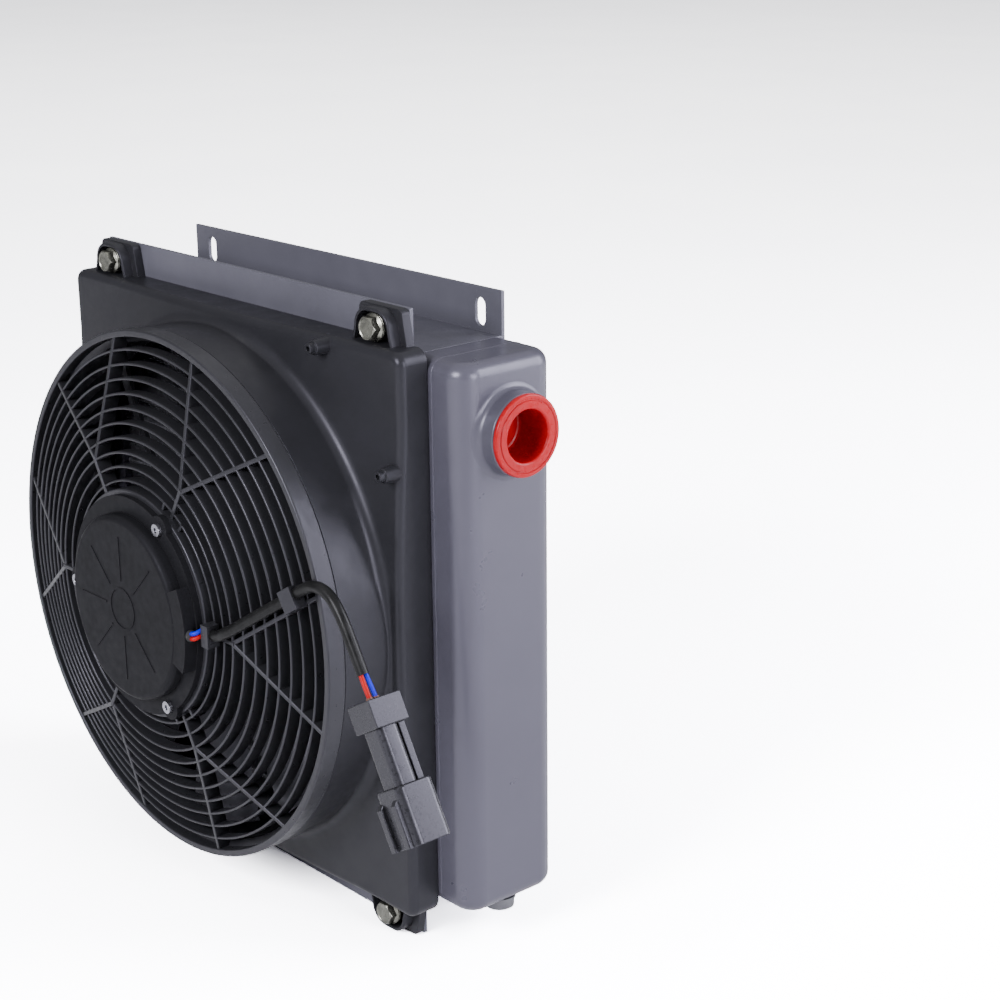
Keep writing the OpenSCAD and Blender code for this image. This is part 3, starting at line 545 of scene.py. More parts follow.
def shroud_box():
    """Skin from the tunnel's lip down its wall, over the cone and round the edge, then back inside."""
    front = shroud_outline(EDGE_R)
    angles = [math.atan2(z, x) for x, z in front]
    reach = [math.hypot(x, z) for x, z in front]
    edge_y = [cone_y(r) for r in reach]

    def circle(r, y):
        return [(r * math.cos(a), y, r * math.sin(a)) for a in angles]

    def between(r_of, y_of):
        return [(r_of(i) * math.cos(a), y_of(i), r_of(i) * math.sin(a))
                for i, a in enumerate(angles)]

    def level(inset, y):
        return [(x, y, z) for x, z in shroud_outline(inset)]

    def behind_edge(inset, depth):
        return [(x, edge_y[i] + depth, z) for i, (x, z) in enumerate(shroud_outline(inset))]

    foot = [min(7, 0.85 * (r - TUNNEL_FOOT_R)) for r in reach]
    rings = [circle(TUNNEL_IN_R, TUNNEL_FRONT + 0.5), circle(TUNNEL_IN_R + 0.5, TUNNEL_FRONT),
             circle(TUNNEL_LIP_R - 0.5, TUNNEL_FRONT), circle(TUNNEL_LIP_R, TUNNEL_FRONT + 0.5)]
    foot_y = [cone_y(TUNNEL_FOOT_R + f) - f for f in foot]
    for k in range(1, 5):
        t = k / 5
        rings.append(between(lambda i: TUNNEL_LIP_R + (TUNNEL_FOOT_R - TUNNEL_LIP_R) * t,
                             lambda i: TUNNEL_FRONT * (1 - t) + foot_y[i] * t))
    for k in range(7):
        a = math.radians(90 * k / 6)
        rings.append(between(lambda i: TUNNEL_FOOT_R + foot[i] * (1 - math.cos(a)),
                             lambda i: foot_y[i] + foot[i] * math.sin(a)))
    for k in range(1, 11):
        t = k / 11
        rings.append(between(
            lambda i: (TUNNEL_FOOT_R + foot[i]) * (1 - t) + reach[i] * t,
            lambda i: cone_y((TUNNEL_FOOT_R + foot[i]) * (1 - t) + reach[i] * t)))
    for k in range(8):
        a = math.radians(90 * k / 7)
        rings.append(behind_edge(EDGE_R * (1 - math.sin(a)), EDGE_R * (1 - math.cos(a))))
    rings += [level(0, SHROUD_BACK - 0.5), level(0.5, SHROUD_BACK),
              level(WALL - 0.4, SHROUD_BACK), level(WALL, SHROUD_BACK - 0.5),
              behind_edge(WALL, EDGE_R + 1), behind_edge(EDGE_R + 1, WALL),
              circle(TUNNEL_IN_R + 1.5, cone_y(TUNNEL_IN_R) + WALL),
              circle(TUNNEL_IN_R, cone_y(TUNNEL_IN_R) + WALL - 1.5)]
    for k in range(1, 6):
        y = TUNNEL_FRONT + 0.5 + (5.5 - k) / 5.5 * (-TUNNEL_FRONT - 4)
        rings.append(circle(TUNNEL_IN_R, y))
    return loft(rings)


LUG_TOP = 20.7
LUG_STEP_Y = 10
COLLAR_Y = 3
COLLAR_FLOOR = 12
COLLAR_DROP = 0.7
COLLAR_WALL = 2.2
LUG_HOLE_R = 5.5


def lug_outline(foot, head, top, r):
    """Tapered outline from a wide foot to two round shoulders, then back along the foot."""
    points = [(foot, -2), (foot - 0.1, 1)]
    points += arc((head - r, top - r), r, 0, 90, 10)
    points += arc((-head + r, top - r), r, 90, 180, 10)
    points += [(-foot + 0.1, 1), (-foot, -2)]
    count = 12
    points += [(-foot + 2 * foot * k / count, -2) for k in range(1, count)]
    return points


def lug():
    """Tapered lug with an arched collar and a sunk floor, drawn about the middle of its foot."""
    def plate(inset, y):
        return [(x, y, z) for x, z in lug_outline(23 - inset, 19.6 - inset, LUG_TOP - inset,
                                                  4 - 0.6 * inset)]

    def collar(inset, y):
        return [(x, y, z) for x, z in lug_outline(18 - inset, 16 - inset,
                                                  LUG_TOP - COLLAR_DROP - inset, 12 - inset)]

    hole_z = BOLT_RISE - SHROUD_HALF_H
    angles = [math.atan2(z - hole_z, x) for x, y, z in collar(COLLAR_WALL, 0)]

    def hole(r, y):
        return [(r * math.cos(a), y, hole_z + r * math.sin(a)) for a in angles]

    wall = COLLAR_WALL
    rings = [plate(0.5, SHROUD_BACK), plate(0, SHROUD_BACK - 0.5), plate(0, LUG_STEP_Y + 0.5),
             plate(0.15, LUG_STEP_Y + 0.15), plate(0.5, LUG_STEP_Y),
             collar(-0.1, LUG_STEP_Y), collar(0, LUG_STEP_Y - 0.2),
             collar(0, COLLAR_Y + 0.9), collar(0.3, COLLAR_Y + 0.3), collar(0.9, COLLAR_Y),
             collar(wall - 0.8, COLLAR_Y), collar(wall - 0.2, COLLAR_Y + 0.2),
             collar(wall, COLLAR_Y + 0.8), collar(wall, COLLAR_FLOOR - 0.8),
             collar(wall + 0.7, COLLAR_FLOOR),
             hole(LUG_HOLE_R + 0.4, COLLAR_FLOOR), hole(LUG_HOLE_R, COLLAR_FLOOR + 0.4),
             hole(LUG_HOLE_R, SHROUD_BACK - 0.4), hole(LUG_HOLE_R + 0.4, SHROUD_BACK)]
    return loft(rings)


def screw_post():
    """Tapered post with a thinner tip and a pilot hole."""
    outline = [(PINHOLE_R, -3.5), (5.2, -3.5), (4.35, -13.3)]
    outline += arc((3.85, -13.3), 0.5, 0, -90, 4)
    outline += [(3.3, -13.8), (3.1, -14)]
    outline += arc((2.6, -17), 0.5, 0, -90, 4)
    outline += [(1.8, -17.5), (1.6, -17.3), (1.6, -8), (PINHOLE_R, -8)]
    return revolve(outline, 40)


POSTS = ((106, 169), (167, 106))


def make_shroud():
    parts = [moved(shroud_box(), (0, 0, AXIS_Z))]
    for sx in (-1, 1):
        for sz in (-1, 1):
            flip = Matrix.Diagonal((1, 1, sz))
            parts.append(moved(lug(), (sx * BOLT_X, 0, AXIS_Z + sz * SHROUD_HALF_H), flip))
    for x, z in POSTS:
        parts.append(moved(screw_post(), (x, 0, AXIS_Z + z)))
    mesh = mesh_from("shroud_moulding", parts, sharp=42)
    link_piece("shroud_moulding", mesh, "cooler", "shroud_plastic", ["shroud"])


make_shroud()


# ---------- fan guard ----------

GUARD_R = 167
GUARD_FRONT = 56
RING_FIRST_R = 76.5
RING_STEP = 8.7
RING_COUNT = 10
RING_T = 1.8
RING_DEPTH = 9
RING_SET_BACK = 0.4
SPOKE_T = 2.8
SPOKE_DEPTH = 10
COLLAR_OUT_R = 72
COLLAR_IN_R = 60
COLLAR_FRONT = -74
COLLAR_DEPTH = 12
EAR_PITCH_R = 65.5
EAR_R = 8
RIB_LEAN = 7.5
RIB_T = 2.2
RIB_DEPTH = 9


def guard_y(r):
    """Front of a ring: level as far as the forks, then falling back to the rim."""
    fall = (FORK_FRONT - SPOKE_END_Y) * max(0, r - FORK_R) / (SPOKE_END_R - FORK_R)
    return RING_SET_BACK - FORK_FRONT + fall


def guard_ring(r):
    front = guard_y(r)
    half = RING_T / 2
    outline = arc((r, front + half), half, 180, 360, 8)
    outline += [(r + half * 0.8, front + RING_DEPTH), (r - half * 0.8, front + RING_DEPTH)]
    return revolve(outline, 160)


def bar(start, end, width, front, depth):
    """Bar from start to end in the fan's plane; front gives its front face at both ends."""
    a = Vector((start[0], start[1]))
    b = Vector((end[0], end[1]))
    along = (b - a).normalized()
    across = Vector((-along.y, along.x))
    edge = 0.6
    section = arc((width / 2 - edge, edge), edge, 0, -90, 4)
    section += arc((-width / 2 + edge, edge), edge, -90, -180, 4)
    section += [(-width / 2 * 0.85, depth), (width / 2 * 0.85, depth)]
    rings = []
    for place, y in ((a, front[0]), (b, front[1])):
        rings.append([(place.x + across.x * s, y + d, place.y + across.y * s)
                      for s, d in section])
    return loft(rings, closed=False)


def turned(part, degrees):
    """Turned about the fan axis, from x towards z."""
    points, faces = part
    c = math.cos(math.radians(degrees))
    s = math.sin(math.radians(degrees))
    return [(x * c - z * s, y, x * s + z * c) for x, y, z in points], faces


def guard_spoke():
    """Bar from the motor seat that forks into two prongs."""
    parts = [bar((COLLAR_OUT_R - 4, 0), (FORK_R + 1, 0), SPOKE_T,
                 (-FORK_FRONT, -FORK_FRONT), SPOKE_DEPTH)]
    for side in (1, -1):
        end = (SPOKE_END_R * math.cos(FORK_ANGLE), side * SPOKE_END_R * math.sin(FORK_ANGLE))
        parts.append(bar((FORK_R - 1, 0), end, SPOKE_T, (-FORK_FRONT + 0.1, -SPOKE_END_Y),
                         SPOKE_DEPTH))
    return parts


def guard_rim():
    outline = arc((GUARD_R - 3.7, -GUARD_FRONT + 0.8), 0.8, 180, 270, 4)
    outline += arc((GUARD_R - 1.2, -GUARD_FRONT + 1.2), 1.2, 270, 360, 5)
    outline += [(GUARD_R, TUNNEL_FRONT - 0.6), (GUARD_R - 0.5, TUNNEL_FRONT - 0.1),
                (TUNNEL_IN_R + 0.1, TUNNEL_FRONT - 0.1), (TUNNEL_IN_R, TUNNEL_FRONT + 8),
                (TUNNEL_IN_R - 2, TUNNEL_FRONT + 8), (TUNNEL_IN_R - 2, TUNNEL_FRONT - 2),
                (GUARD_R - 4.5, TUNNEL_FRONT - 4)]
    return revolve(outline, 192)


def collar():
    """Motor seat with three screw ears, each braced to the first ring by two ribs."""
    front = COLLAR_FRONT
    back = front + COLLAR_DEPTH
    outline = arc((COLLAR_OUT_R - 1, front + 1), 1, -90, 0, 4)
    outline += [(COLLAR_OUT_R, back), (COLLAR_IN_R, back), (COLLAR_IN_R, front)]
    parts = [revolve(outline, 128)]
    for a in (60, 180, 300):
        boss = cylinder_y(EAR_R, front, back, 0.8)
        parts.append(turned(moved(boss, (EAR_PITCH_R, 0, 0)), a))
        for lean in (-RIB_LEAN, RIB_LEAN):
            rib = bar((COLLAR_OUT_R - 3, 0), (RING_FIRST_R + 1, 0), RIB_T,
                      (front + 2, front + 3), RIB_DEPTH)
            parts.append(turned(rib, a + lean))
    return parts


def make_guard():
    parts = [guard_rim()]
    parts += [guard_ring(RING_FIRST_R + k * RING_STEP) for k in range(RING_COUNT)]
    for a in range(0, 360, 60):
        parts += [turned(piece, a) for piece in guard_spoke()]
    parts += collar()
    parts = [(to_axis(points), faces) for points, faces in parts]
    mesh = mesh_from("fan_guard_grille", parts)
    link_piece("fan_guard_grille", mesh, "cooler", "fan_plastic", ["fan_guard"])


make_guard()


# ---------- tanks, headers and ports ----------

TANK_CORNER_R = 14
TANK_EDGE_R = 8.5
SEAM_X = header_high[0]
PORT_HOLE_R = 19.5
PORT_HOLE_DEPTH = 10
PORT_HOLE_SIDES = 64
PORT_SIDES = 96
SAME = 1e-4


def lies_at(part, axis, place):
    """True for an edge or face whose corners all have that coordinate."""
    return all(abs(v.co[axis] - place) < SAME for v in part.verts)


def open_port(bm, x):
    """Cuts a round hole in the flat outer face at x, with a wall that the boss covers."""
    face = max((f for f in bm.faces if lies_at(f, 0, x)), key=lambda f: f.calc_area())
    outer = list(face.verts)
    turns = [2 * math.pi * k / PORT_HOLE_SIDES for k in range(PORT_HOLE_SIDES)]
    circle = [(PORT_HOLE_R * math.cos(a) + TANK_MID_Y, PORT_HOLE_R * math.sin(a) + PORT_Z)
              for a in turns]
    lip = [bm.verts.new((x, y, z)) for y, z in circle]
    inner = [bm.verts.new((x - PORT_HOLE_DEPTH, y, z)) for y, z in circle]
    bm.faces.remove(face)
    corners = outer + lip
    fan = tessellate_polygon([[v.co for v in outer], [v.co for v in lip]])
    for triangle in fan:
        bm.faces.new([corners[i] for i in triangle])
    for k in range(PORT_HOLE_SIDES):
        bm.faces.new([lip[k - 1], lip[k], inner[k], inner[k - 1]])
    bmesh.ops.recalc_face_normals(bm, faces=bm.faces)


def end_box(x0, x1, corner, name):
    """Closed block from the core outwards with rounded long edges; corner rounds its outer uprights."""
    y0, y1 = tank_low[1], tank_high[1]
    z0, z1 = tank_low[2], tank_high[2]
    bm = bmesh.new()
    grid = {}
    for x in (x0, x1):
        for y in (y0, y1):
            for z in (z0, z1):
                grid[x, y, z] = bm.verts.new((x, y, z))
    foot = [(x0, y0), (x1, y0), (x1, y1), (x0, y1)]
    for z in (z0, z1):
        bm.faces.new([grid[(*p, z)] for p in foot])
    for p, q in zip(foot, foot[1:] + foot[:1]):
        bm.faces.new([grid[(*p, z0)], grid[(*q, z0)], grid[(*q, z1)], grid[(*p, z1)]])
    bmesh.ops.recalc_face_normals(bm, faces=bm.faces)
    if corner:
        uprights = [e for e in bm.edges
                    if lies_at(e, 0, x1)
                    and abs(e.verts[0].co.z - e.verts[1].co.z) > 1]
        bmesh.ops.bevel(bm, geom=uprights, offset=corner, segments=10, profile=0.5,
                        affect="EDGES", clamp_overlap=False)
    rims = [e for e in bm.edges
            if (lies_at(e, 2, z0) or lies_at(e, 2, z1))
            and not lies_at(e, 0, x0)
            and (corner or not lies_at(e, 0, x1))]
    bmesh.ops.bevel(bm, geom=rims, offset=TANK_EDGE_R, segments=8, profile=0.5,
                    affect="EDGES", clamp_overlap=False)
    if corner:
        open_port(bm, x1)
    bmesh.ops.scale(bm, vec=(MM, MM, MM), verts=bm.verts)
    smooth_by_angle(bm, SHARP_ABOVE)
    mesh = bpy.data.meshes.new(name)
    bm.to_mesh(mesh)
    bm.free()
    return mesh


def tank_face_x(y):
    """Outer face of the right tank at a distance y from its middle."""
    half = (tank_high[1] - tank_low[1]) / 2
    past = abs(y) - (half - TANK_CORNER_R)
    if past <= 0:
        return TANK_REACH
    past = min(past, TANK_CORNER_R)
    return TANK_REACH - TANK_CORNER_R + math.sqrt(TANK_CORNER_R ** 2 - past ** 2)


BOSS_R = 24.5
BOSS_FILLET = 4
BORE_R = 16.65
BORE_DEPTH = 14
THREAD_RIDGE = 0.9
RIDGE_PITCH = 2.3


def port_boss():
    """Boss whose fillet follows the rounded tank, with a ridged pipe thread inside."""
    count = PORT_SIDES
    top = boss_high[0]
    rings = []
    fillet = arc((BOSS_R + BOSS_FILLET, BOSS_FILLET), BOSS_FILLET, 270, 180, 6)
    for r, lift in [(BOSS_R + BOSS_FILLET, -3)] + fillet:
        ring = []
        for k in range(count):
            a = 2 * math.pi * k / count
            y = r * math.cos(a)
            ring.append((tank_face_x(y) + lift, TANK_MID_Y + y, PORT_Z + r * math.sin(a)))
        rings.append(ring)
    profile = [(BOSS_R, top - 1)] + arc((BOSS_R - 1, top - 1), 1, 30, 90, 2)
    profile += [(BORE_R + 1, top), (BORE_R, top - 1)]
    x = top - 1
    while x > top - BORE_DEPTH:
        profile += [(BORE_R + THREAD_RIDGE, x - 0.6), (BORE_R, x - 1.2)]
        x -= RIDGE_PITCH
    profile.append((BORE_R - 0.6, top - BORE_DEPTH - 1.4))
    for r, x in profile:
        rings.append([(x, TANK_MID_Y + r * math.cos(2 * math.pi * k / count),
                       PORT_Z + r * math.sin(2 * math.pi * k / count)) for k in range(count)])
    return loft(rings)


PLUG_FLANGE_R = 24.2
PLUG_FLANGE_T = 3
PLUG_CUP_R = 15.3
PLUG_CUP_DEPTH = 25
PLUG_MOUTH_R = 1.6
PLUG_GROOVE_R = 20.3


def port_plug():
    """Transit plug: rounded flange, softened mouth and a cup with a moulded centre mark."""
    face = PLUG_FACE
    back = face - PLUG_FLANGE_T
    cup = PLUG_CUP_R
    floor = face - PLUG_CUP_DEPTH
    groove = PLUG_GROOVE_R
    rim = PLUG_FLANGE_R
    outline = [(PINHOLE_R, floor), (3.0, floor), (3.4, floor + 0.4), (cup - 2, floor + 0.2)]
    outline += arc((cup - 2, floor + 2.2), 2, -90, 0, 5)
    outline += arc((cup + PLUG_MOUTH_R, face - PLUG_MOUTH_R), PLUG_MOUTH_R, 180, 90, 5)
    outline += [(groove, face), (groove + 0.3, face - 0.5), (groove + 0.9, face - 0.5),
                (groove + 1.2, face - 0.1)]
    outline += arc((rim - 1.3, face - 1.3), 1.2, 80, 0, 6)
    outline += [(rim, back + 0.5), (rim - 0.5, back + 0.02), (cup + 1, back + 0.02),
                (cup + 0.95, back - 1), (cup + 0.7, floor), (cup + 0.1, floor - 1),
                (PINHOLE_R, floor - 1)]
    rings = []
    for k in range(PORT_SIDES):
        a = 2 * math.pi * k / PORT_SIDES
        rings.append([(x, TANK_MID_Y + r * math.cos(a), PORT_Z + r * math.sin(a))
                      for r, x in outline])
    return loft(rings)


BEAD_R = 0.55
BEAD_FLATNESS = 0.55
BEAD_STEP = 1.2
BEAD_SIDES = 8


def weld_bead(x):
    """Uneven bead along the seam between header and tank, dressed flush on the back face."""
    rng = random.Random(7)
    y0, y1 = tank_low[1], tank_high[1]
    z0, z1 = tank_low[2], tank_high[2]
    outline = rounded_outline([(y0, z0, TANK_EDGE_R), (y1, z0, TANK_EDGE_R),
                               (y1, z1, TANK_EDGE_R), (y0, z1, TANK_EDGE_R)])
    dense = []
    for i, p in enumerate(outline):
        a = Vector(p)
        b = Vector(outline[(i + 1) % len(outline)])
        steps = max(1, int((b - a).length / BEAD_STEP))
        dense += [a.lerp(b, k / steps) for k in range(steps)]
    rings = []
    centre = Vector((TANK_MID_Y, AXIS_Z))
    for i, p in enumerate(dense):
        ahead = dense[(i + 1) % len(dense)] - dense[i - 1]
        out = Vector((ahead.y, -ahead.x)).normalized()
        if out.dot(p - centre) < 0:
            out.negate()
        r = BEAD_R + rng.uniform(-0.12, 0.18)
        shift = rng.uniform(-0.25, 0.25)
        ring = []
        for k in range(BEAD_SIDES):
            a = 2 * math.pi * k / BEAD_SIDES
            lift = r * BEAD_FLATNESS * math.cos(a) - 0.12
            ring.append((x + shift + 1.5 * r * math.sin(a), min(p.x + out.x * lift, y1 - 0.05),
                         p.y + out.y * lift))
        rings.append(ring)
    return loft(rings)


def make_end(side, sign):
    """Tank, header, boss, weld and plug, all drawn on the right; a sign of -1 mirrors them."""
    def placed(mesh, replaced, body="cooler", slot="tank_grey"):
        if sign < 0:
            mesh.transform(Matrix.Diagonal((sign, 1, 1, 1)))
            mesh.flip_normals()
        link_piece(mesh.name, mesh, body, slot, replaced)

    placed(end_box(SEAM_X, TANK_REACH, TANK_CORNER_R, side + "_tank_shell"), [side + "_tank"])
    placed(end_box(header_low[0], SEAM_X, 0, side + "_header_shell"), [side + "_header"])
    placed(mesh_from(side + "_threaded_boss", [port_boss()]), [side + "_port_boss"])
    placed(mesh_from(side + "_seam_weld", [weld_bead(SEAM_X)], 80), [])
    placed(mesh_from(side + "_transit_plug", [port_plug()], 30), [side + "_port_plug"],
           side + "_plug", "red_plastic")


make_end("left", -1)
make_end("right", 1)


# ---------- core ----------

FIN_HEIGHT = (fins_high[2] - fins_low[2] - TUBE_COUNT * TUBE_T) / (TUBE_COUNT + 1)
FIN_END_GAP = 2
FIN_INSET = 0.4
FIN_CREASE = 0.05


def make_tubes():
    front, back = tubes_low[1], tubes_high[1]
    parts = []
    r = TUBE_T / 2
    for i in range(TUBE_COUNT):
        z = fins_low[2] + FIN_HEIGHT + i * (FIN_HEIGHT + TUBE_T) + r
        section = arc((front + r, z), r, 90, 270, 8) + arc((back - r, z), r, 270, 450, 8)
        rings = [[(x, y, h) for y, h in section] for x in (tubes_low[0], tubes_high[0])]
        parts.append(loft(rings, closed=False))
    mesh = mesh_from("core_flat_tubes", parts)
    link_piece("core_flat_tubes", mesh, "cooler", "core_aluminium", ["core_tubes"])


def fin_strip(z0, rng):
    """One folded strip with slightly uneven folds, as thin solid sheet."""
    width = fins_high[0] - fins_low[0] - 2 * FIN_END_GAP
    folds = int(width / (FIN_PITCH / 2))
    pitch = width / folds
    lean = 0.22 * pitch
    t = FIN_SHEET / 2
    line = []
    for k in range(folds + 1):
        x = fins_low[0] + FIN_END_GAP + k * pitch + rng.uniform(-0.12, 0.12)
        low, high = FIN_CREASE, FIN_HEIGHT - FIN_CREASE
        if k % 2:
            low, high = high, low
        line.append((x - lean / 2, z0 + low))
        line.append((x + lean / 2, z0 + high))
    front = fins_low[1] + FIN_INSET
    back = fins_high[1] - FIN_INSET
    rings = []
    for i, p in enumerate(line):
        a = Vector(line[max(i - 1, 0)])
        b = Vector(line[min(i + 1, len(line) - 1)])
        side = (b - a).normalized().orthogonal()
        here = Vector(p)
        one = here + side * t
        two = here - side * t
        rings.append([(one.x, front, one.y), (one.x, back, one.y),
                      (two.x, back, two.y), (two.x, front, two.y)])
    return loft(rings, closed=False)


def make_fins():
    rng = random.Random(11)
    parts = [fin_strip(fins_low[2] + row * (FIN_HEIGHT + TUBE_T), rng)
             for row in range(TUBE_COUNT + 1)]
    mesh = mesh_from("core_folded_fins", parts, 20)
    link_piece("core_folded_fins", mesh, "cooler", "core_aluminium", ["core_fins"])


make_tubes()
make_fins()


# ---------- fasteners ----------

HEX_SIDES = 72
HEX_R = 7.5


def hex_ring(y, limit):
    """Hexagon across y whose corners go no further out than a limit."""
    ring = []
    for k in range(HEX_SIDES):
        a = 2 * math.pi * k / HEX_SIDES
        local = (math.degrees(a) % 60) - 30
        flat = HEX_R * math.cos(math.radians(30)) / math.cos(math.radians(local))
        r = min(flat, limit)
        ring.append((r * math.cos(a), y, r * math.sin(a)))
    return ring


def hex_head(y0, height, chamfer):
    """Bolt head that rises from y0 towards the front, with its corners cut by a cone, and dished."""
    rings = [hex_ring(y0, HEX_R)]
    chamfer_from = 0.72
    for share in (chamfer_from, 0.80, 0.88, 0.94, 1.0):
        cut = chamfer * (share - chamfer_from) / (1 - chamfer_from)
        rings.append(hex_ring(y0 - height * share, HEX_R - cut))
    for share, drop in ((0.93, 0), (0.86, 0.35), (0.5, 0.45)):
        rings.append(hex_ring(y0 - height + drop, (HEX_R - chamfer) * share))
    return loft(rings, closed=False)


HEAD_Y = 5.5
FLANGE_R = 8.4
BOLT_R = 3.85
THREAD_ROOT_R = 3.35
THREAD_START = 17
THREAD_PITCH = 1.25
BOLT_END = 25.9
CLEAR_R = 4.4
WASHER_R = 8.35
SPACER_R = 5.95
NUT_BORE_R = 4.05


def shroud_bolt():
    """Flange, hexagon head and a shank that ends in thread ridges."""
    outline = [(PINHOLE_R, HEAD_Y), (FLANGE_R - 0.3, HEAD_Y), (FLANGE_R, HEAD_Y - 0.3),
               (FLANGE_R, HEAD_Y - 0.8), (FLANGE_R - 0.6, HEAD_Y - 1.2), (6.4, HEAD_Y - 2.0),
               (PINHOLE_R, HEAD_Y - 2.0)]
    parts = [revolve(outline, 64), hex_head(HEAD_Y - 1.3, 5.15, 1.15)]
    shank = [(PINHOLE_R, HEAD_Y - 0.5), (BOLT_R, HEAD_Y - 0.5), (BOLT_R, THREAD_START)]
    y = THREAD_START
    while y < BOLT_END - 1.3:
        shank += [(BOLT_R, y + 0.35), (THREAD_ROOT_R, y + 0.75)]
        y += THREAD_PITCH
    shank += [(3.2, BOLT_END), (PINHOLE_R, BOLT_END)]
    parts.append(revolve(shank, 40))
    return parts


def washer():
    outline = [(CLEAR_R, 5.55), (WASHER_R - 0.25, 5.55), (WASHER_R, 5.75),
               (WASHER_R, 6.75), (WASHER_R - 0.25, 6.95), (CLEAR_R, 6.95)]
    return revolve(outline, 64)


def spacer():
    outline = [(CLEAR_R, 7.02), (SPACER_R - 0.25, 7.02), (SPACER_R, 7.3),
               (SPACER_R, 11.6), (SPACER_R - 0.25, 11.9), (CLEAR_R, 11.9)]
    return revolve(outline, 56)


def shroud_nut():
    base = 18.55
    outline = [(NUT_BORE_R, base), (FLANGE_R - 0.3, base), (FLANGE_R, base + 0.3),
               (FLANGE_R, base + 0.8), (6.6, base + 1.7), (NUT_BORE_R, base + 1.7)]
    rings = [hex_ring(base + rise, limit) for rise, limit in (
        (1, HEX_R), (5.4, HEX_R), (6.2, HEX_R - 0.6), (6.9, HEX_R - 1.2),
        (6.9, NUT_BORE_R + 0.55), (6.4, NUT_BORE_R), (1, NUT_BORE_R))]
    return [revolve(outline, 64), loft(rings)]


def at_bolts(parts):
    out = []
    for sx in (-1, 1):
        for sz in (-1, 1):
            out += [moved(p, (sx * BOLT_X, 0, AXIS_Z + sz * BOLT_RISE)) for p in parts]
    return out


def make_fasteners():
    for name, node, parts in (("flange_bolts", "shroud_bolts", shroud_bolt()),
                              ("flat_washers", "shroud_washers", [washer()]),
                              ("spacer_sleeves", "shroud_spacers", [spacer()]),
                              ("flange_nuts", "shroud_nuts", shroud_nut())):
        mesh = mesh_from(name, at_bolts(parts), 28)
        link_piece(name, mesh, "cooler", "zinc_steel", [node])


make_fasteners()


# ---------- CAD nodes that get softened edges ----------

ROUND_ABOVE = 32
REFINED_SHARP_ABOVE = 40
WELD_WITHIN = 2e-6


def refined(node, name, width, segments=2):
    """A cleaned copy of a CAD node with its sharp edges rounded; it stands for the node."""
    source = NODES[node]
    bm = bmesh.new()
    bm.from_mesh(source.data)
    bmesh.ops.remove_doubles(bm, verts=bm.verts, dist=WELD_WITHIN)
    bmesh.ops.dissolve_limit(bm, angle_limit=math.radians(1.0), verts=bm.verts, edges=bm.edges)
    edges = [e for e in bm.edges
             if len(e.link_faces) == 2 and e.calc_face_angle(0) > math.radians(ROUND_ABOVE)]
    bmesh.ops.bevel(bm, geom=edges, offset=width * MM, segments=segments, profile=0.5,
                    affect="EDGES", clamp_overlap=True)
    smooth_by_angle(bm, REFINED_SHARP_ABOVE)
    mesh = bpy.data.meshes.new(name)
    bm.to_mesh(mesh)
    bm.free()
    return link_piece(name, mesh, BODY_OF[node], SLOT_OF[node], [node])


SLOT_OF = {s["node"]: s["material_slot"] for s in frame["record"]["subparts"]}
BODY_OF = {n: body for body, names in frame["record"]["behaviour"]["bodies"].items()
           for n in names}

refined("top_channel", "top_mounting_channel", 0.5)
refined("bottom_channel", "bottom_mounting_channel", 0.5)
refined("core_side_plates", "core_end_plates", 0.4)
refined("drain_plugs", "drain_screws", 0.5)
refined("motor_cover", "motor_end_cover", 0.7, 3)
refined("motor_screws", "motor_socket_screws", 0.25)
refined("cable_clips", "lead_clips", 0.7)
connector_cap = refined("connector_cap", "connector_rear_cap", 0.6, 3)


# ---------- connector ----------

def in_connector(part):
    """From the connector's own frame, z up the lead, to the model's."""
    tilt = Matrix.Rotation(math.radians(-PLUG_TILT), 3, "Y")
    return moved(part, tuple(PLUG_TOP), tilt)


CAP_LEN = 16
BODY_LEN = 33
MOUTH_LEN = 33
MOUTH_HALF_W = 12
MOUTH_HALF_H = 12.5
SOCKET_HALF_W = 9.6
SOCKET_HALF_H = 10.2
SOCKET_FLOOR = 6


def connector_housing():
    """Slim body with two rails, then a wider mouth with two wedge ribs on its front."""
    body = CAP_LEN + BODY_LEN
    end = body + MOUTH_LEN
    parts = [rounded_prism(rect(-9, 9, -9, 5, 4.2), -body, -CAP_LEN, 0.4),
             rounded_prism(rect(-8, 8, -8, 4, 1), -CAP_LEN - 0.1, -CAP_LEN + 3, 0.3),
             rounded_prism(rect(4, 7, 5.5, 10, 0.7), -body, -CAP_LEN - 0.3, 0.4),
             rounded_prism(rect(-6.5, -3.5, 4, 6.4, 0.6), -body, -CAP_LEN - 4, 0.4)]
    outer = rect(-MOUTH_HALF_W, MOUTH_HALF_W, -MOUTH_HALF_H, MOUTH_HALF_H, 4.8)
    shrink = [(x * 0.955, y * 0.955) for x, y in outer]
    mouth = [(x * SOCKET_HALF_W / MOUTH_HALF_W, y * SOCKET_HALF_H / MOUTH_HALF_H)
             for x, y in outer]
    rings = [[(x, y, -body) for x, y in shrink], [(x, y, -body - 0.9) for x, y in outer],
             [(x, y, -end + 0.6) for x, y in outer], [(x * 0.97, y * 0.97, -end) for x, y in outer],
             [(x * 1.02, y * 1.02, -end) for x, y in mouth], [(x, y, -end + 0.6) for x, y in mouth],
             [(x, y, -body - SOCKET_FLOOR) for x, y in mouth]]
    parts.append(loft(rings, closed=False))
    for x in (-11, 3):
        wedge = rounded_outline([(x, -15, 0.9), (x + 5, -15, 0.9), (x + 5, -12, 0), (x, -12, 0)])
        rings = []
        for z, cut in ((-end, 0), (-body - 9, 0), (-body - 6, 2.6)):
            rings.append([(px, py + (cut if py < -MOUTH_HALF_H else 0), z) for px, py in wedge])
        parts.append(loft(rings, closed=False))
    return parts


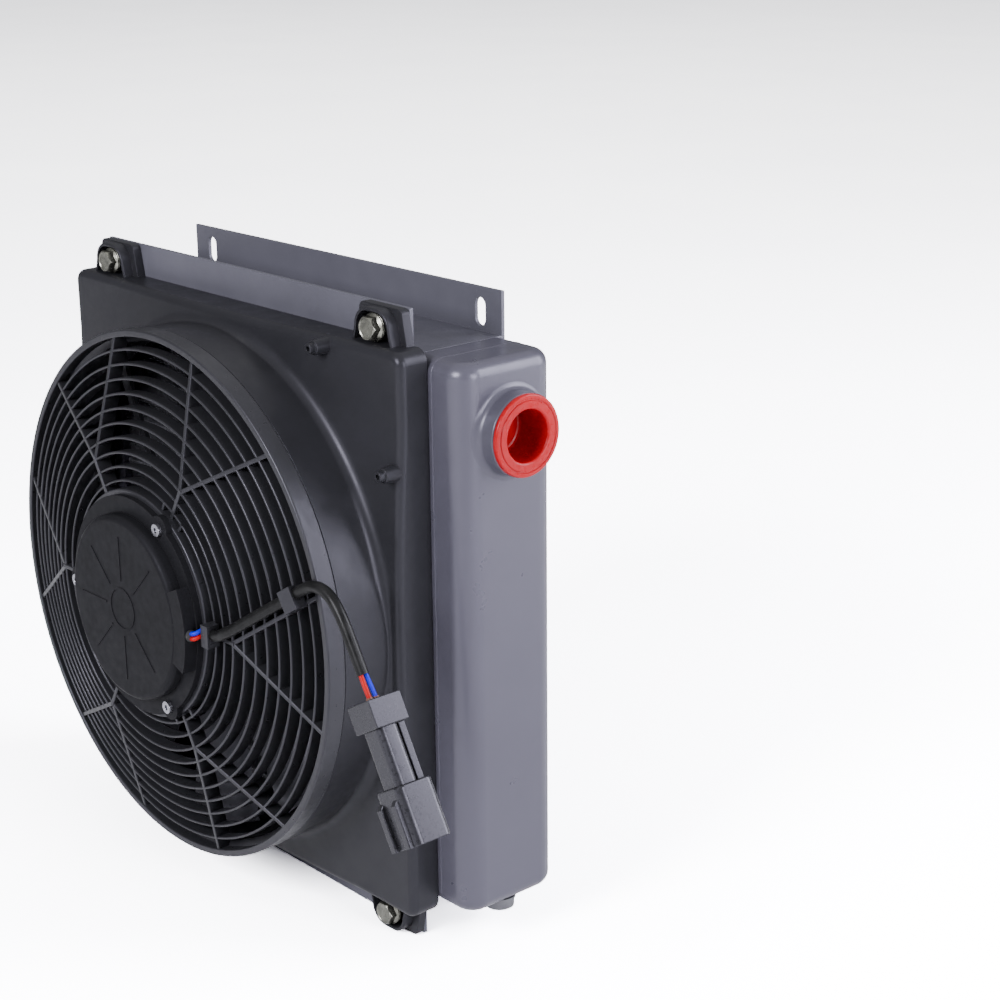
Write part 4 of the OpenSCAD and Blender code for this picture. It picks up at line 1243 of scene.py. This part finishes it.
def make_connector():
    mesh = mesh_from("connector_socket", [in_connector(p) for p in connector_housing()], 35)
    return link_piece("connector_socket", mesh, "cooler", "connector_plastic",
                      ["connector_housing"])


connector_body = make_connector()


# ---------- wires and the clipped run of the lead ----------

def make_run():
    start = [(73.6, RUN_Y, RUN_Z), (78, RUN_Y, RUN_Z), (82, RUN_Y, RUN_Z),
             (86, RUN_Y, RUN_Z + 0.7), (90, RUN_Y - 0.1, RUN_Z + 2.3), (94, -75.3, RUN_Z + 4.7)]
    fork = [tuple(fork_point(s)) for s in range(8, 49, 10)]
    clip = [tuple(fork_point(CLIP_B + s)) for s in (-CLIP_LEN / 2, CLIP_LEN / 2)]
    path = spline(start + fork + clip, 3)
    mesh = mesh_from("clipped_lead_sleeve", [swept(path, SLEEVE_R, 24)])
    link_piece("clipped_lead_sleeve", mesh, "cooler", "sleeve_black", ["cable_run"])


WIRE_GAP = 1.6
OUTLET_Y = -82.2
OUTLET_Z = AXIS_Z + 0.5


def motor_lead(side):
    z0 = OUTLET_Z + side * WIRE_GAP
    z1 = RUN_Z + side * WIRE_GAP
    rise = z1 - z0
    return spline([(64, OUTLET_Y, z0), (69.2, OUTLET_Y, z0), (71, OUTLET_Y + 0.9, z0 + rise * 0.15),
                   (72.2, OUTLET_Y + 2.8, z0 + rise * 0.5),
                   (72.9, OUTLET_Y + 5, z0 + rise * 0.85), (73.9, RUN_Y, z1)], 5)


def tail_wire(side):
    start = Vector(to_axis(SLEEVE_ROUTE)[-1])
    across = Vector((0, side * WIRE_GAP, 0))
    return spline([tuple(start + across), tuple((start + PLUG_TOP) / 2 + 1.2 * across),
                   tuple(PLUG_TOP + 1.3 * across)], 6)


def make_wires():
    made = []
    for colour, side in (("red", -1), ("blue", 1)):
        slot = colour + "_wire"
        lead = mesh_from(colour + "_motor_wire", [swept(motor_lead(side), WIRE_R, 16)])
        link_piece(colour + "_motor_wire", lead, "cooler", slot, [colour + "_lead"])
        tail = mesh_from(colour + "_plug_wire", [swept(tail_wire(side), WIRE_R, 16)])
        made.append(link_piece(colour + "_plug_wire", tail, "cooler", slot, [colour + "_tail"]))
    return made


make_run()
tails = make_wires()


# ---------- materials of the CAD nodes that stay ----------

for name, node in NODES.items():
    node.data.materials.clear()
    node.data.materials.append(MATERIALS[SLOT_OF[name]])


# ---------- floor, light and finish ----------

FLOOR_GAIN = 8
FLOOR_HALF = 25
FLOOR_GAP = 0.0006


def make_stage():
    """Pale floor in metres; only camera rays see it FLOOR_GAIN brighter, so it lights no more."""
    mesh = bpy.data.meshes.new("floor")
    size = FLOOR_HALF
    mesh.from_pydata([(-size, -size, 0), (size, -size, 0), (size, size, 0), (-size, size, 0)],
                     [], [(0, 1, 2, 3)])
    floor = bpy.data.objects.new("floor", mesh)
    floor.location.z = -FLOOR_GAP
    bpy.context.scene.collection.objects.link(floor)
    material, nodes, links, shader = node_tree("floor_paint")
    clouds = mapped_noise(nodes, links, 3)
    paint = ramp(nodes, links, clouds, [(0.3, (0.80, 0.80, 0.81)), (0.7, (0.84, 0.84, 0.84))])
    seen = nodes.new("ShaderNodeLightPath")
    gain = spread(nodes, links, seen.outputs["Is Camera Ray"], 1.0, FLOOR_GAIN)
    bright = nodes.new("ShaderNodeVectorMath")
    bright.operation = "SCALE"
    links.new(paint, bright.inputs[0])
    links.new(gain, bright.inputs["Scale"])
    links.new(bright.outputs["Vector"], shader.inputs["Base Color"])
    shader.inputs["Roughness"].default_value = 0.9
    mesh.materials.append(material)


def area_light(name, place, target, size, power, colour=(1, 1, 1)):
    data = bpy.data.lights.new(name, "AREA")
    data.shape = "RECTANGLE"
    data.size, data.size_y = size
    data.energy = power
    data.color = colour
    light = bpy.data.objects.new(name, data)
    light.location = place
    aim = Vector(target) - Vector(place)
    light.rotation_euler = aim.to_track_quat("-Z", "Y").to_euler()
    bpy.context.scene.collection.objects.link(light)


def make_lights():
    middle = (0, 0, 0.2)
    area_light("overhead", (0, 0.5, 5.0), (0, 0.5, 0), (9.0, 9.0), 185)
    area_light("rim", (1.3, 1.5, 0.9), middle, (1.1, 1.5), 75, (0.90, 0.90, 1.0))
    area_light("side", (1.9, 0.1, 0.7), middle, (0.8, 1.0), 42, (0.92, 0.92, 1.0))
    area_light("front", (0.3, -1.8, 1.2), middle, (0.8, 0.8), 80, (0.94, 0.94, 1.0))
    world = bpy.data.worlds.new("studio")
    world.use_nodes = True
    background = world.node_tree.nodes["Background"]
    background.inputs["Color"].default_value = (0.95, 0.95, 1.0, 1)
    background.inputs["Strength"].default_value = 0.25
    bpy.context.scene.world = world


make_stage()
make_lights()
